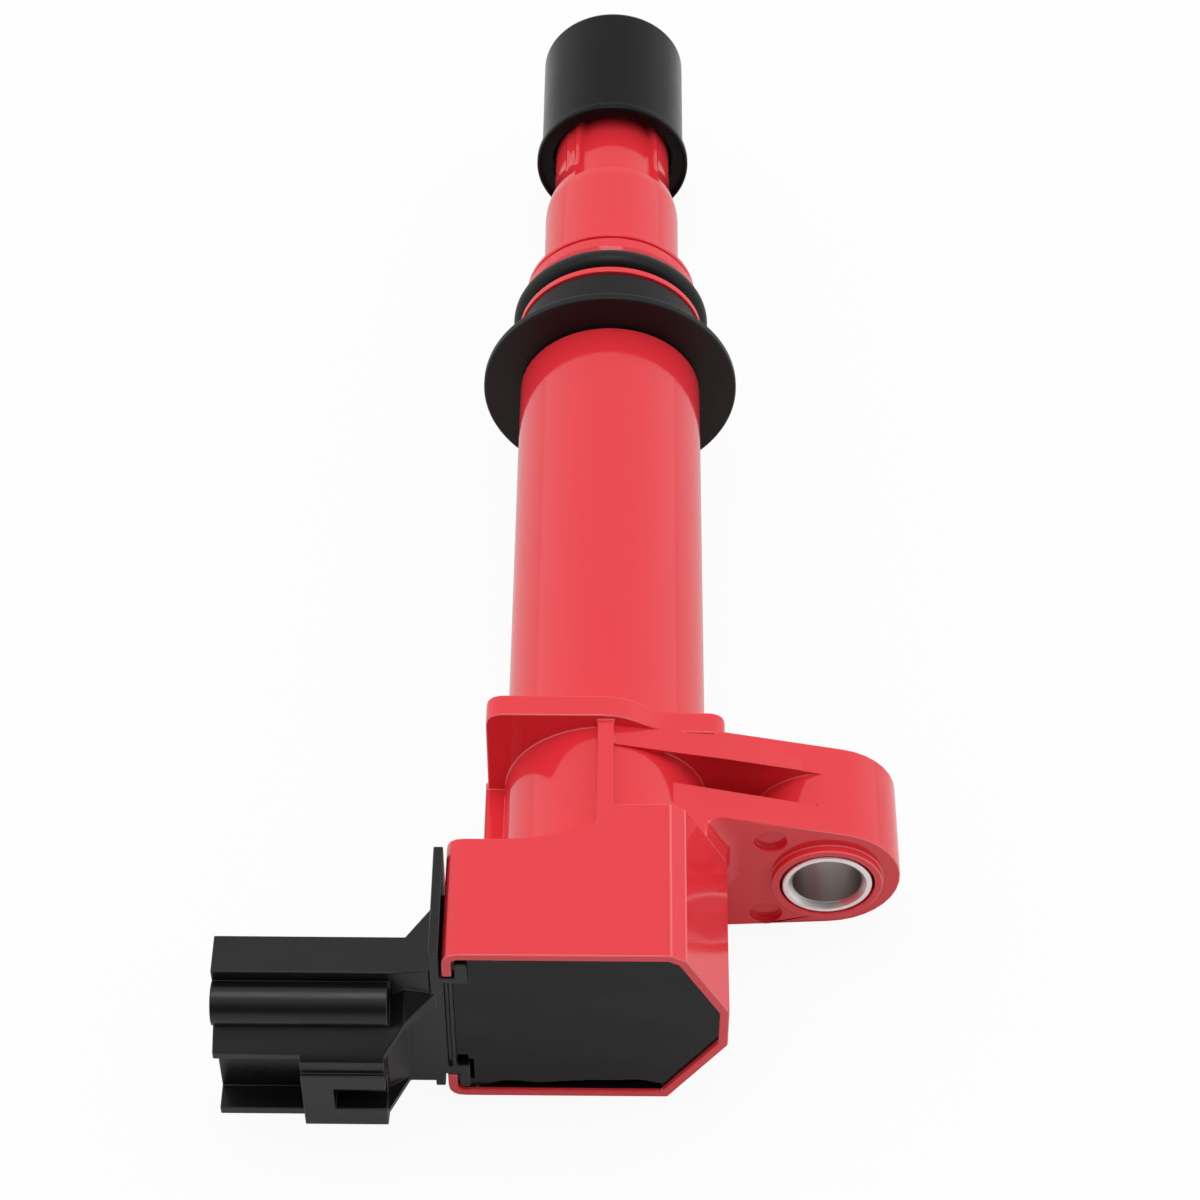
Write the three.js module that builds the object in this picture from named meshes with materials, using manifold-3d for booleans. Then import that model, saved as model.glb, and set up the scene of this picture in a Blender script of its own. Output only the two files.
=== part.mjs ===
// Pencil ignition coil for one cylinder, lying on its side.
// Lengths are millimetres. The tube's axis is +Y, with the boot at the far end, and +Z is up.
// Named places along Y count from the near face of the mounting plate, and X and Z from the tube's axis.
import * as THREE from 'three';
import { mergeVertices } from 'three/addons/utils/BufferGeometryUtils.js';
import Module from 'manifold-3d';

const wasm = await Module();
wasm.setup();

// Fits
const clearance = 0.3;
const overrun = 1;
const weldDistance = 0.0001;

// Tube of the housing
const tubeRadius = 12;
const tubeWall = 1.5;
const tubeLength = 77.7;
const tubeBore = tubeRadius - tubeWall;
const sealSeatRadius = 11.3;

// Mounting plate across the tube
const plateThickness = 3;
const plateHalfWidth = 14.1;
const plateTop = 14.1;
const plateStepDrop = 3;
const plateStepStart = -0.5;
const plateStepEnd = 9;
const plateCornerRadius = 2.2;

// Head box, open towards -Y
const headLeft = 17.9;
const headRight = 14.2;
const headHalfHeight = 14.1;
const headWall = 1.1;
const headFace = 34.2;
const headBackLeft = 18.1;
const headBackMiddle = 15.6;
const headBackRight = 13;
const headStepWidth = 12;
const headFloor = 19.2;
const headCornerRadius = 2;
const headChamferTop = 7.5;
const headChamferHalfHeight = 3.3;
const headFacetWidth = 1.7;
const headFacetDrop = 1;

// Ribs between plate and head
const ribHalfWidth = 0.95;
const ribTop = 13.4;
const sideWebReach = 14.4;

// Ear with the bolt hole
const earCentreX = 26.4;
const earDrop = 4;
const earRadius = 8.7;
const earFront = 10;
const earFrontWall = 4;
const earBackWall = 4.2;
const earFloor = 2;
const earRootX = 9;
const earRootTop = 10.5;
const earRootBottom = 14;
const earGussetRise = 1.8;
const earGussetReach = 1.6;
const earGussetEnd = 20;
const earBossRadius = 9.1;
const collarHeight = 1;
const collarRadius = 6.6;
const dimpleRadius = 1.9;
const dimpleDepth = 0.4;
const dimpleInset = 7;
const dimpleSpread = 7.1;
const earFilletRadius = 1.8;

// Steel limiter in the ear
const limiterRadius = 5.35;
const limiterBore = 4.1;
const limiterChamfer = 0.6;

// High-voltage tower, pressed into the tube
const spigotLength = 7;
const towerRingRadius = 12.5;
const towerRingWidth = 1;
const groovePlay = 0.2;
const doubleRingRadius = 11.7;
const nearRingWidth = 3;
const farRingWidth = 0.8;
const doubleRingGap = 0.5;
const collarTubeRadius = 9.3;
const collarTubeLength = 14.3;
const shoulderLength = 7.1;
const noseRadius = 8.1;
const noseLength = 15.6;
const noseTaper = 0.4;
const fluteFloor = 7.2;
const fluteFrom = -38;
const fluteTo = 50;
const fluteReach = 5.3;
const noseRibHalfAngle = 2.5;
const noseRibProud = 0.15;
const noseRibSpread = 13;
const towerWall = 2;
const towerBore = 4.3;
const towerCupInset = 2;

// Rubber rings
const oRingSection = 1.6;
const oRingRadius = 11.6;
const sealFlangeRadius = 16.9;
const sealSleeveLength = 9.8;
const sealFlangeStart = tubeLength - sealSleeveLength;
const sealFlangeThickness = 1.4;
const sealSleeveWall = 0.7;
const sealEdge = 0.4;

// Boot
const bootRadius = 10.1;
const bootLength = 22.5;
const bootOverlap = 10.2;
const bootLipRadius = 10.8;
const bootLipLength = 1.3;
const bootLipWall = 0.6;
const bootLipGroove = 0.25;
const bootMouthDepth = 0.7;
const bootPlugBore = 5.3;
const bootPlugChamfer = 1;
const bootEdge = 1;

// Coil stack, from the axis outwards
const coreRadius = 3.8;
const magnetLength = 3.5;
const corePadLength = 2;
const stackStart = -9.5;
const stackEndRoom = 6.3;
const secondaryBobbinWall = 0.8;
const secondaryWindingDepth = 2;
const primaryBobbinWall = 0.6;
const primaryWindingDepth = 1.1;
const bobbinFlange = 1.4;
const primaryInset = 4;
const shieldThickness = 0.4;
const shieldSlit = 1.2;
const windingTaper = 1.5;

// High-voltage path
const hvFlangeRadius = 7.2;
const hvFlangeThickness = 0.8;
const hvStemRadius = 3.9;
const hvStemLength = 4;
const resistorRadius = 3.7;
const resistorLength = 18;
const resistorCapLength = 4;
const resistorCapStep = 0.3;
const springRadius = 3.2;
const springWire = 0.4;
const springTurns = 10;
const springLength = 24;
const capRadius = 4;
const capThickness = 2;
const capPilotRadius = 2.4;
const capPilotLength = 3.5;
const capDome = 1;
const leadRadius = 0.5;
const leadBend = 2.7;
const primaryLeadAngle = 130;

// Connector shell, with its section in Y (towards the viewer) and Z
const shellMouth = 43.6;
const shellRoot = 24.4;
const shellBack = 28.9;
const shellTop = 10;
const shellBottom = 9.7;
const topStripFront = 33.8;
const creaseHeight = 5.4;
const ledgeFront = 39.4;
const ledgeHeight = 2.15;
const ledgeThickness = 1.1;
const lowerWallFront = 36.6;
const lowerWallTop = 0.3;
const lowerFlangeFront = 39.7;
const lowerFlangeThickness = 1.2;
const keyRibRadius = 2.6;
const keyRibY = 35.3;
const keyRibZ = 6.2;
const keyRibEnd = 23.9;
const socketDepth = 15;
const socketBack = 30.1;
const socketFront = 35.3;
const socketHalfHeight = 7.2;
const socketCornerRadius = 1.6;
const neckMiddle = 22.2;
const neckBack = 24.7;
const neckHalfHeight = 11;
const neckMiddleShares = [1, 0, 0, 0.5, 0.5, 0.5, 1, 1, 1, 1];
const neckEdgeShares = [1, 0.82, 0.6, 0.5, 0.36, -0.72, -0.91, -1];
const sidePlateThickness = 1.1;
const sidePlateBack = 19.3;
const sidePlateBottom = 12;
const windowHalfHeight = 9.85;
const windowBack = 22.5;
const hookEnd = 12.2;
const hookRadius = 0.6;
const upperHookWidth = 1.4;
const upperHookStart = 8.6;
const lowerHookWidth = 1.2;
const lowerHookStart = 7.9;
const slitInset = 0.15;
const slitWidth = 0.5;
const slitTop = 8.7;
const slitBottom = 8;
const slitDepth = 0.5;

// Latch plate on the shell
const latchLeft = 33.9;
const latchFront = 40.6;
const latchBottom = 10.4;
const latchBandHeight = 2;
const latchBandDepth = 0.5;
const latchSlotLeft = 30.3;
const latchSlotTop = 3.2;
const latchSlotBottom = 7.1;
const latchSlotDepth = 2.5;

// Contact blades in the socket
const bladeWidth = 2.8;
const bladeThickness = 0.8;
const bladePitch = 4.6;
const bladeRecess = 5.4;
const bladeShift = 0.5;
const bladeInnerEnd = 13.6;
const bladeTipShare = 0.6;

// Potting in the head
const pottingRecess = 1;

// Steps round the circles
const roundSteps = 48;
const smallRoundSteps = 24;
const cornerSteps = 4;
const leadSteps = 10;
const leadSides = 6;
const springStepsPerTurn = 8;
const springSides = 5;
const ringSides = 10;

const paints = {
  red: { color: 0xe8303f, roughness: 0.4, metalness: 0 },
  black: { color: 0x2e2e2e, roughness: 0.5, metalness: 0 },
  rubber: { color: 0x262423, roughness: 0.8, metalness: 0 },
  resin: { color: 0x2a2928, roughness: 0.35, metalness: 0 },
  steel: { color: 0xb9b5b2, roughness: 0.35, metalness: 1 },
  brass: { color: 0xb59a5a, roughness: 0.35, metalness: 1 },
  iron: { color: 0x5c5f63, roughness: 0.5, metalness: 1 },
  ferrite: { color: 0x3a3c40, roughness: 0.6, metalness: 0 },
  bobbin: { color: 0xd8cfb8, roughness: 0.55, metalness: 0 },
  copper: { color: 0xa65a2a, roughness: 0.4, metalness: 1 },
  ceramic: { color: 0xe6e1d6, roughness: 0.5, metalness: 0 },
};

// Closed solids and back

function asSolid(geometry) {
  const bare = new THREE.BufferGeometry();
  bare.setAttribute('position', geometry.attributes.position);
  if (geometry.index) bare.setIndex(geometry.index);
  const merged = mergeVertices(bare, weldDistance);
  const positions = merged.attributes.position.array;
  const index = merged.index.array;
  const corners = [];
  let volume = 0;
  const [a, b, c] = [new THREE.Vector3(), new THREE.Vector3(), new THREE.Vector3()];
  for (let i = 0; i < index.length; i += 3) {
    const [p, q, r] = [index[i], index[i + 1], index[i + 2]];
    if (p === q || q === r || r === p) continue;
    corners.push(p, q, r);
    a.fromArray(positions, 3 * p);
    b.fromArray(positions, 3 * q);
    c.fromArray(positions, 3 * r);
    volume += a.dot(b.cross(c));
  }
  if (volume < 0) corners.reverse();
  return new wasm.Manifold(new wasm.Mesh({
    numProp: 3,
    vertProperties: Float32Array.from(positions),
    triVerts: Uint32Array.from(corners),
  }));
}

function asGeometry(solid) {
  const mesh = solid.getMesh();
  const geometry = new THREE.BufferGeometry();
  geometry.setAttribute('position', new THREE.BufferAttribute(mesh.vertProperties, 3));
  geometry.setIndex(new THREE.BufferAttribute(mesh.triVerts, 1));
  geometry.computeVertexNormals();
  return geometry;
}

function joined(...solids) {
  return solids.reduce((whole, piece) => whole.add(piece));
}

function without(solid, ...cuts) {
  return cuts.reduce((left, cut) => left.subtract(cut), solid);
}

// Shapes

// A closed profile of [radius, place along Y] points, turned round the tube's axis
function turned(profile, steps = roundSteps) {
  const points = profile.map(([radius, y]) => new THREE.Vector2(radius, y));
  points.push(points[0].clone());
  return asSolid(new THREE.LatheGeometry(points, steps));
}

function disc(radius, from, to, steps = roundSteps) {
  return turned([[0, from], [radius, from], [radius, to], [0, to]], steps);
}

function sleeve(inner, outer, from, to, steps = roundSteps) {
  return turned([[inner, from], [outer, from], [outer, to], [inner, to]], steps);
}

// An outline of [x, y, corner radius] points with its corners rounded
function roundedShape(corners) {
  const shape = new THREE.Shape();
  corners.forEach(([x, y, radius = 0], i) => {
    const corner = new THREE.Vector2(x, y);
    const before = new THREE.Vector2(...corners.at(i - 1).slice(0, 2)).sub(corner).normalize();
    const after = new THREE.Vector2(...corners[(i + 1) % corners.length].slice(0, 2)).sub(corner).normalize();
    const enter = corner.clone().addScaledVector(before, radius);
    const leave = corner.clone().addScaledVector(after, radius);
    if (i === 0) shape.moveTo(enter.x, enter.y);
    else shape.lineTo(enter.x, enter.y);
    if (radius > 0) shape.quadraticCurveTo(x, y, leave.x, leave.y);
  });
  shape.closePath();
  return shape;
}

function extruded(shape, depth, steps = cornerSteps) {
  return new THREE.ExtrudeGeometry(shape, { depth, bevelEnabled: false, curveSegments: steps });
}

// A shape drawn in X and Z, standing between two places along Y
function slabAlongY(shape, from, to, steps) {
  return asSolid(extruded(shape, to - from, steps).rotateX(Math.PI / 2).translate(0, to, 0));
}

// A shape drawn in Y and Z, standing between two places along X
function prismAlongX(shape, from, to, steps) {
  const turn = new THREE.Matrix4().makeBasis(
    new THREE.Vector3(0, 1, 0), new THREE.Vector3(0, 0, 1), new THREE.Vector3(1, 0, 0));
  return asSolid(extruded(shape, to - from, steps).applyMatrix4(turn).translate(from, 0, 0));
}

function prismAlongZ(shape, from, to, steps) {
  return asSolid(extruded(shape, to - from, steps).translate(0, 0, from));
}

function block(x0, x1, y0, y1, z0, z1) {
  const box = new THREE.BoxGeometry(x1 - x0, y1 - y0, z1 - z0);
  return asSolid(box.translate((x0 + x1) / 2, (y0 + y1) / 2, (z0 + z1) / 2));
}

// A round bar along Y at any place
function barAlongY(x, z, radius, from, to, steps = roundSteps) {
  const bar = new THREE.CylinderGeometry(radius, radius, to - from, steps);
  return asSolid(bar.translate(x, (from + to) / 2, z));
}

function roundWire(path, radius, steps) {
  const section = new THREE.Shape();
  section.absarc(0, 0, radius, 0, 2 * Math.PI);
  const wire = { steps, extrudePath: path, bevelEnabled: false, curveSegments: leadSides };
  return asSolid(new THREE.ExtrudeGeometry(section, wire));
}

// Moves each edge of a convex outline inwards by one distance; the outline runs anticlockwise
function shrunk(corners, distance) {
  const edges = corners.map(([x, y], i) => {
    const [nextX, nextY] = corners[(i + 1) % corners.length];
    const along = new THREE.Vector2(nextX - x, nextY - y).normalize();
    const start = new THREE.Vector2(x - along.y * distance, y + along.x * distance);
    return { start, along };
  });
  return edges.map((edge, i) => {
    const last = edges.at(i - 1);
    const across = last.start.clone().sub(edge.start);
    const reach = across.cross(last.along) / edge.along.cross(last.along);
    const meet = edge.start.clone().addScaledVector(edge.along, reach);
    return [meet.x, meet.y, Math.max(0, (corners[i][2] ?? 0) - distance)];
  });
}

// Where a line from a point touches a circle, on its upper side or its lower one
function touchPoint(x, z, circleX, circleZ, radius, side) {
  const distance = Math.hypot(circleX - x, circleZ - z);
  const towards = Math.atan2(z - circleZ, x - circleX);
  const turn = towards - side * Math.acos(radius / distance);
  return [circleX + radius * Math.cos(turn), circleZ + radius * Math.sin(turn)];
}

// Housing

function headCorners(inset = 0) {
  const facetX = headChamferTop + headFacetWidth;
  const facetZ = headHalfHeight - headFacetDrop;
  const outline = [
    [-headLeft, -headHalfHeight, headCornerRadius],
    [headChamferTop, -headHalfHeight],
    [headRight, -headChamferHalfHeight],
    [headRight, headChamferHalfHeight],
    [facetX, facetZ],
    [headChamferTop, headHalfHeight],
    [-headLeft, headHalfHeight, headCornerRadius],
  ];
  return inset > 0 ? shrunk(outline, inset) : outline;
}

function headBlock() {
  const box = slabAlongY(roundedShape(headCorners()), -headFace, 0);
  const plan = new THREE.Shape();
  plan.moveTo(-headLeft - overrun, -headFace - overrun);
  plan.lineTo(headRight + overrun, -headFace - overrun);
  plan.lineTo(headRight + overrun, -headBackRight);
  plan.lineTo(ribHalfWidth, -headBackRight);
  plan.lineTo(-ribHalfWidth, -headBackMiddle);
  plan.quadraticCurveTo(-headStepWidth / 2, -headBackLeft, -headStepWidth, -headBackLeft);
  plan.lineTo(-headLeft - overrun, -headBackLeft);
  plan.closePath();
  const reach = headHalfHeight + overrun;
  return box.intersect(prismAlongZ(plan, -reach, reach, cornerSteps));
}

function mountingPlate() {
  const shape = new THREE.Shape();
  const low = plateTop - plateStepDrop;
  const middle = (plateStepStart + plateStepEnd) / 2;
  const r = plateCornerRadius;
  shape.moveTo(-plateHalfWidth, -headHalfHeight + r);
  shape.lineTo(-plateHalfWidth, plateTop - r);
  shape.quadraticCurveTo(-plateHalfWidth, plateTop, -plateHalfWidth + r, plateTop);
  shape.lineTo(plateStepStart, plateTop);
  shape.bezierCurveTo(middle, plateTop, middle, low, plateStepEnd, low);
  shape.lineTo(plateHalfWidth - r, low);
  shape.quadraticCurveTo(plateHalfWidth, low, plateHalfWidth, low - r);
  shape.lineTo(plateHalfWidth, -headHalfHeight + r);
  shape.quadraticCurveTo(plateHalfWidth, -headHalfHeight, plateHalfWidth - r, -headHalfHeight);
  shape.lineTo(-plateHalfWidth + r, -headHalfHeight);
  shape.quadraticCurveTo(-plateHalfWidth, -headHalfHeight, -plateHalfWidth, -headHalfHeight + r);
  return slabAlongY(shape, 0, plateThickness, 2 * cornerSteps);
}

// The ear's edges run straight from the rib and the head's underside to the round end
function earEdges() {
  const top = touchPoint(ribHalfWidth, earRootTop, earCentreX, -earDrop, earRadius, 1);
  const bottom = touchPoint(earRootX, -earRootBottom, earCentreX, -earDrop, earRadius, -1);
  const slope = (top[1] - earRootTop) / (top[0] - ribHalfWidth);
  const topAt = (x) => earRootTop + slope * (x - ribHalfWidth);
  return { top, bottom, topAt };
}

function earShape() {
  const { top, bottom } = earEdges();
  const shape = new THREE.Shape();
  const angleAt = ([x, z]) => Math.atan2(z + earDrop, x - earCentreX);
  shape.moveTo(0, -earRootBottom);
  shape.lineTo(earRootX, -earRootBottom);
  shape.lineTo(...bottom);
  shape.absarc(earCentreX, -earDrop, earRadius, angleAt(bottom), angleAt(top), false);
  shape.lineTo(...top);
  shape.lineTo(ribHalfWidth, earRootTop);
  shape.lineTo(0, earRootTop);
  shape.closePath();
  return shape;
}

// Thickens the ear's back wall towards the rib, and carries its top up into the plate
function earGusset() {
  const { topAt } = earEdges();
  const front = plateThickness - earBackWall;
  const bottom = earFloor / 2 - earRootBottom;
  const root = topAt(0) + earGussetRise;
  const middle = topAt(plateHalfWidth);
  const end = topAt(earGussetEnd) - clearance;
  const stations = [
    [0, front - earGussetReach, root, root],
    [plateHalfWidth, front, middle, middle + earGussetRise],
    [earGussetEnd, front + clearance, end, end],
  ];
  return skinned(stations.map(([x, y, near, far]) => [
    new THREE.Vector3(x, y, near),
    new THREE.Vector3(x, 0, far),
    new THREE.Vector3(x, clearance, far),
    new THREE.Vector3(x, clearance, bottom),
    new THREE.Vector3(x, y, bottom),
  ]));
}

function ear() {
  const front = slabAlongY(earShape(), -earFront, -earFront + earFrontWall, 2 * cornerSteps);
  const back = slabAlongY(earShape(), plateThickness - earBackWall, plateThickness, 2 * cornerSteps);
  const { bottom } = earEdges();
  const floor = roundedShape([
    [earRootX, -earRootBottom], bottom, [bottom[0], bottom[1] + earFloor], [earRootX, earFloor - earRootBottom],
  ]);
  const inside = [-earFront + earFrontWall / 2, plateThickness - earBackWall / 2];
  return joined(
    front,
    back,
    earGusset(),
    slabAlongY(floor, ...inside),
    slabAlongY(earShape(), ...inside, 2 * cornerSteps)
      .intersect(barAlongY(earCentreX, -earDrop, earBossRadius, ...inside)),
    barAlongY(earCentreX, -earDrop, collarRadius, -earFront - collarHeight, -earFront + overrun),
  );
}

// Fills the corner between the ear's front wall and the head's side with a concave round:
// the head's outline, spread wider the nearer it is to the wall
function earFillet() {
  const r = earFilletRadius;
  const ringAt = (spread, y) => shrunk(headCorners(), -spread).map(([x, z]) => new THREE.Vector3(x, y, z));
  const rings = [];
  for (let i = 0; i <= cornerSteps; i += 1) {
    const turn = (i / cornerSteps) * (Math.PI / 2);
    rings.push(ringAt(r * (1 - Math.cos(turn)), -earFront - r * (1 - Math.sin(turn))));
  }
  rings.push(ringAt(r, -earFront + overrun));
  const reach = slabAlongY(earShape(), -earFront - 2 * r, -earFront + earFrontWall, 2 * cornerSteps);
  return skinned(rings).intersect(reach);
}

function housing() {
  const half = ribHalfWidth;
  const outside = joined(
    headBlock(),
    disc(tubeRadius, -headFloor, sealFlangeStart - clearance),
    disc(sealSeatRadius, sealFlangeStart - overrun, tubeLength),
    mountingPlate(),
    block(-half, half, -headBackMiddle - overrun, overrun, 0, ribTop),
    block(-sideWebReach, 0, -headBackLeft - overrun, overrun, -2 * half, 0),
    ear(),
    earFillet(),
  );
  const dimples = [-dimpleSpread, dimpleSpread].map((z) => barAlongY(
    earCentreX - dimpleInset, z - earDrop, dimpleRadius, -earFront - overrun, -earFront + dimpleDepth,
    smallRoundSteps));
  return without(
    outside,
    disc(tubeBore, -headFloor - overrun, tubeLength + overrun),
    slabAlongY(roundedShape(headCorners(headWall)), -headFace - overrun, -headFloor),
    block(-headLeft - overrun, -headLeft + headWall + overrun, -headFace - overrun, -windowBack,
      -windowHalfHeight, windowHalfHeight),
    barAlongY(earCentreX, -earDrop, limiterRadius + clearance, -earFront - collarHeight - overrun,
      plateThickness + overrun),
    ...dimples,
  );
}

function compressionLimiter() {
  const [from, to] = [-earFront - collarHeight, plateThickness];
  const [r, bore, edge] = [limiterRadius, limiterBore, limiterChamfer];
  return turned([
    [bore + edge, from], [r, from], [r, to], [bore + edge, to],
    [bore, to - edge], [bore, from + edge],
  ], smallRoundSteps * 2).translate([earCentreX, 0, -earDrop]);
}

// High-voltage tower; its places along Y follow one another
const towerStart = tubeLength + clearance;
const grooveStart = towerStart + towerRingWidth;
const grooveWidth = 2 * (oRingSection + groovePlay);
const doubleRingStart = grooveStart + grooveWidth;
const nearRingEnd = doubleRingStart + nearRingWidth;
const farRingStart = nearRingEnd + doubleRingGap;
const collarStart = farRingStart + farRingWidth;
const shoulderStart = collarStart + collarTubeLength;
const noseStart = shoulderStart + shoulderLength;
const noseEnd = noseStart + noseLength;
const fluteStart = noseStart - fluteReach;
const grooveFloor = oRingRadius - oRingSection - clearance;
const towerCupRadius = grooveFloor - towerWall;
const towerCupEnd = doubleRingStart - towerCupInset;
const spigotStart = towerStart - spigotLength;
const noseRibRadius = noseRadius + noseRibProud;

// A solid between two angles round the tube's axis, counted from +Z towards +X
function sector(radius, fromAngle, toAngle, from, to) {
  const [start, end] = [fromAngle, toAngle].map(THREE.MathUtils.degToRad);
  const reach = radius / Math.cos((end - start) / 2);
  const shape = new THREE.Shape();
  shape.moveTo(0, 0);
  shape.lineTo(reach * Math.sin(start), reach * Math.cos(start));
  shape.lineTo(reach * Math.sin(end), reach * Math.cos(end));
  shape.closePath();
  return slabAlongY(shape, from, to);
}

function hvTower() {
  const spigot = tubeBore - clearance;
  const shoulder = [];
  for (let i = 1; i <= 2 * cornerSteps; i += 1) {
    const share = i / (2 * cornerSteps);
    const out = (collarTubeRadius - noseRadius) * (1 + Math.cos(share * Math.PI)) / 2;
    shoulder.push([noseRadius + out, shoulderStart + shoulderLength * share]);
  }
  const core = turned([
    [towerCupRadius, spigotStart], [spigot, spigotStart], [spigot, towerStart],
    [towerRingRadius, towerStart], [towerRingRadius, grooveStart],
    [grooveFloor, grooveStart], [grooveFloor, doubleRingStart],
    [doubleRingRadius, doubleRingStart], [doubleRingRadius, nearRingEnd],
    [doubleRingRadius - doubleRingGap, nearRingEnd], [doubleRingRadius - doubleRingGap, farRingStart],
    [doubleRingRadius, farRingStart], [doubleRingRadius, collarStart],
    [collarTubeRadius, collarStart], [collarTubeRadius, shoulderStart], ...shoulder,
    [noseRadius, noseEnd - noseTaper], [noseRadius - noseTaper, noseEnd], [towerBore, noseEnd],
    [towerBore, towerCupEnd], [towerCupRadius, towerCupEnd],
  ]);
  const hollow = sleeve(fluteFloor, collarTubeRadius + overrun, fluteStart, noseEnd + overrun);
  const ribSleeve = sleeve(fluteFloor - overrun, noseRibRadius, noseStart, noseEnd - noseTaper);
  const flutes = [];
  const ribs = [];
  [0, 180].forEach((turn) => {
    flutes.push(sector(collarTubeRadius + overrun, turn + fluteFrom, turn + fluteTo,
      fluteStart - overrun, noseEnd + 2 * overrun).intersect(hollow));
    [fluteFrom - noseRibSpread, fluteFrom, fluteTo].forEach((angle) => {
      const middle = turn + angle;
      ribs.push(sector(noseRibRadius + overrun, middle - noseRibHalfAngle, middle + noseRibHalfAngle,
        fluteStart, noseEnd).intersect(ribSleeve));
    });
  });
  return joined(without(core, ...flutes), ...ribs);
}

// Rubber pieces

function oRing() {
  const middle = grooveStart + grooveWidth / 2;
  const section = [];
  for (let i = 0; i < ringSides; i += 1) {
    const turn = (i / ringSides) * 2 * Math.PI;
    section.push([oRingRadius + oRingSection * Math.cos(turn), middle + oRingSection * Math.sin(turn)]);
  }
  return turned(section);
}

function flangeSeal() {
  const inner = sealSeatRadius + clearance;
  const outer = inner + sealSleeveWall;
  const flangeEnd = sealFlangeStart + sealFlangeThickness;
  return turned([
    [inner, sealFlangeStart], [sealFlangeRadius - sealEdge, sealFlangeStart],
    [sealFlangeRadius, sealFlangeStart + sealEdge], [sealFlangeRadius, flangeEnd - sealEdge],
    [sealFlangeRadius - sealEdge, flangeEnd], [outer + sealEdge, flangeEnd], [outer, flangeEnd + sealEdge],
    [outer, tubeLength], [inner, tubeLength],
  ]);
}

const bootMouth = noseEnd - bootOverlap;
const bootEnd = bootMouth + bootLength;

function plugBoot() {
  const grip = noseRibRadius + clearance;
  const seat = noseEnd + clearance;
  const lipEnd = bootMouth + bootLipLength;
  const lipInner = bootLipRadius - bootLipWall;
  return turned([
    [lipInner, bootMouth], [bootLipRadius, bootMouth], [bootLipRadius, lipEnd],
    [bootRadius - bootLipGroove, lipEnd], [bootRadius - bootLipGroove, lipEnd + bootLipGroove],
    [bootRadius, lipEnd + 2 * bootLipGroove],
    [bootRadius, bootEnd - bootEdge], [bootRadius - bootEdge / 3, bootEnd - bootEdge / 3],
    [bootRadius - bootEdge, bootEnd], [bootPlugBore + bootPlugChamfer, bootEnd],
    [bootPlugBore, bootEnd - bootPlugChamfer], [bootPlugBore, seat], [grip, seat],
    [grip, bootMouth + bootMouthDepth], [lipInner, bootMouth + bootMouthDepth],
  ]);
}

// Coil stack: each layer starts a clearance outside the one before it

const secondaryBobbinInner = coreRadius + clearance;
const secondaryWindingInner = secondaryBobbinInner + secondaryBobbinWall + clearance;
const secondaryOuter = secondaryWindingInner + secondaryWindingDepth;
const primaryBobbinInner = secondaryOuter + clearance;
const primaryWindingInner = primaryBobbinInner + primaryBobbinWall + clearance;
const primaryOuter = primaryWindingInner + primaryWindingDepth;
const shieldOuter = tubeBore - clearance;
const stackEnd = spigotStart - stackEndRoom;
const coreLength = stackEnd - stackStart - 2 * (magnetLength + corePadLength) - 4 * clearance;
const primaryStart = stackStart + primaryInset;
const primaryEnd = stackEnd - primaryInset;

function corePieces() {
  const lengths = {
    core_pad_head_end: [corePadLength, paints.rubber],
    magnet_head_end: [magnetLength, paints.ferrite],
    iron_core: [coreLength, paints.iron],
    magnet_plug_end: [magnetLength, paints.ferrite],
    core_pad_plug_end: [corePadLength, paints.rubber],
  };
  let from = stackStart;
  return Object.entries(lengths).map(([name, [length, paint]]) => {
    const piece = disc(coreRadius, from, from + length, smallRoundSteps);
    from += length + clearance;
    return [name, piece, paint];
  });
}

function bobbin(inner, wall, flangeRadius, from, to) {
  const tube = inner + wall;
  return turned([
    [inner, from], [flangeRadius, from], [flangeRadius, from + bobbinFlange], [tube, from + bobbinFlange],
    [tube, to - bobbinFlange], [flangeRadius, to - bobbinFlange], [flangeRadius, to], [inner, to],
  ], smallRoundSteps);
}

function winding(inner, outer, from, to, taper) {
  const [start, end] = [from + bobbinFlange + clearance, to - bobbinFlange - clearance];
  return turned([
    [inner, start], [outer, start + taper], [outer, end - taper], [inner, end],
  ], smallRoundSteps);
}

function steelShield() {
  const inner = shieldOuter - shieldThickness;
  const ring = sleeve(inner, shieldOuter, primaryStart, primaryEnd, smallRoundSteps * 2);
  const slit = block(-shieldSlit / 2, shieldSlit / 2, primaryStart - overrun, primaryEnd + overrun,
    -shieldOuter - overrun, 0);
  return ring.subtract(slit);
}

// High-voltage path

const hvFlangeStart = towerCupEnd - clearance - hvFlangeThickness;
const hvStemEnd = hvFlangeStart + hvFlangeThickness + hvStemLength;
const resistorStart = hvStemEnd + clearance;
const resistorEnd = resistorStart + resistorLength;
const springStart = resistorEnd + clearance;
const capStart = springStart + springLength + clearance;

function hvTerminal() {
  return turned([
    [0, hvFlangeStart], [hvFlangeRadius, hvFlangeStart], [hvFlangeRadius, hvFlangeStart + hvFlangeThickness],
    [hvStemRadius, hvFlangeStart + hvFlangeThickness], [hvStemRadius, hvStemEnd], [0, hvStemEnd],
  ], smallRoundSteps);
}

function suppressorResistor() {
  const thin = resistorRadius - resistorCapStep;
  return turned([
    [0, resistorStart], [resistorRadius, resistorStart], [resistorRadius, resistorStart + resistorCapLength],
    [thin, resistorStart + resistorCapLength], [thin, resistorEnd - resistorCapLength],
    [resistorRadius, resistorEnd - resistorCapLength], [resistorRadius, resistorEnd], [0, resistorEnd],
  ], smallRoundSteps);
}

function contactCap() {
  const end = capStart + capThickness;
  return turned([
    [0, capStart - capPilotLength], [capPilotRadius, capStart - capPilotLength], [capPilotRadius, capStart],
    [capRadius, capStart], [capRadius, end - capDome], [capRadius - capDome, end], [0, end],
  ], smallRoundSteps);
}

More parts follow.
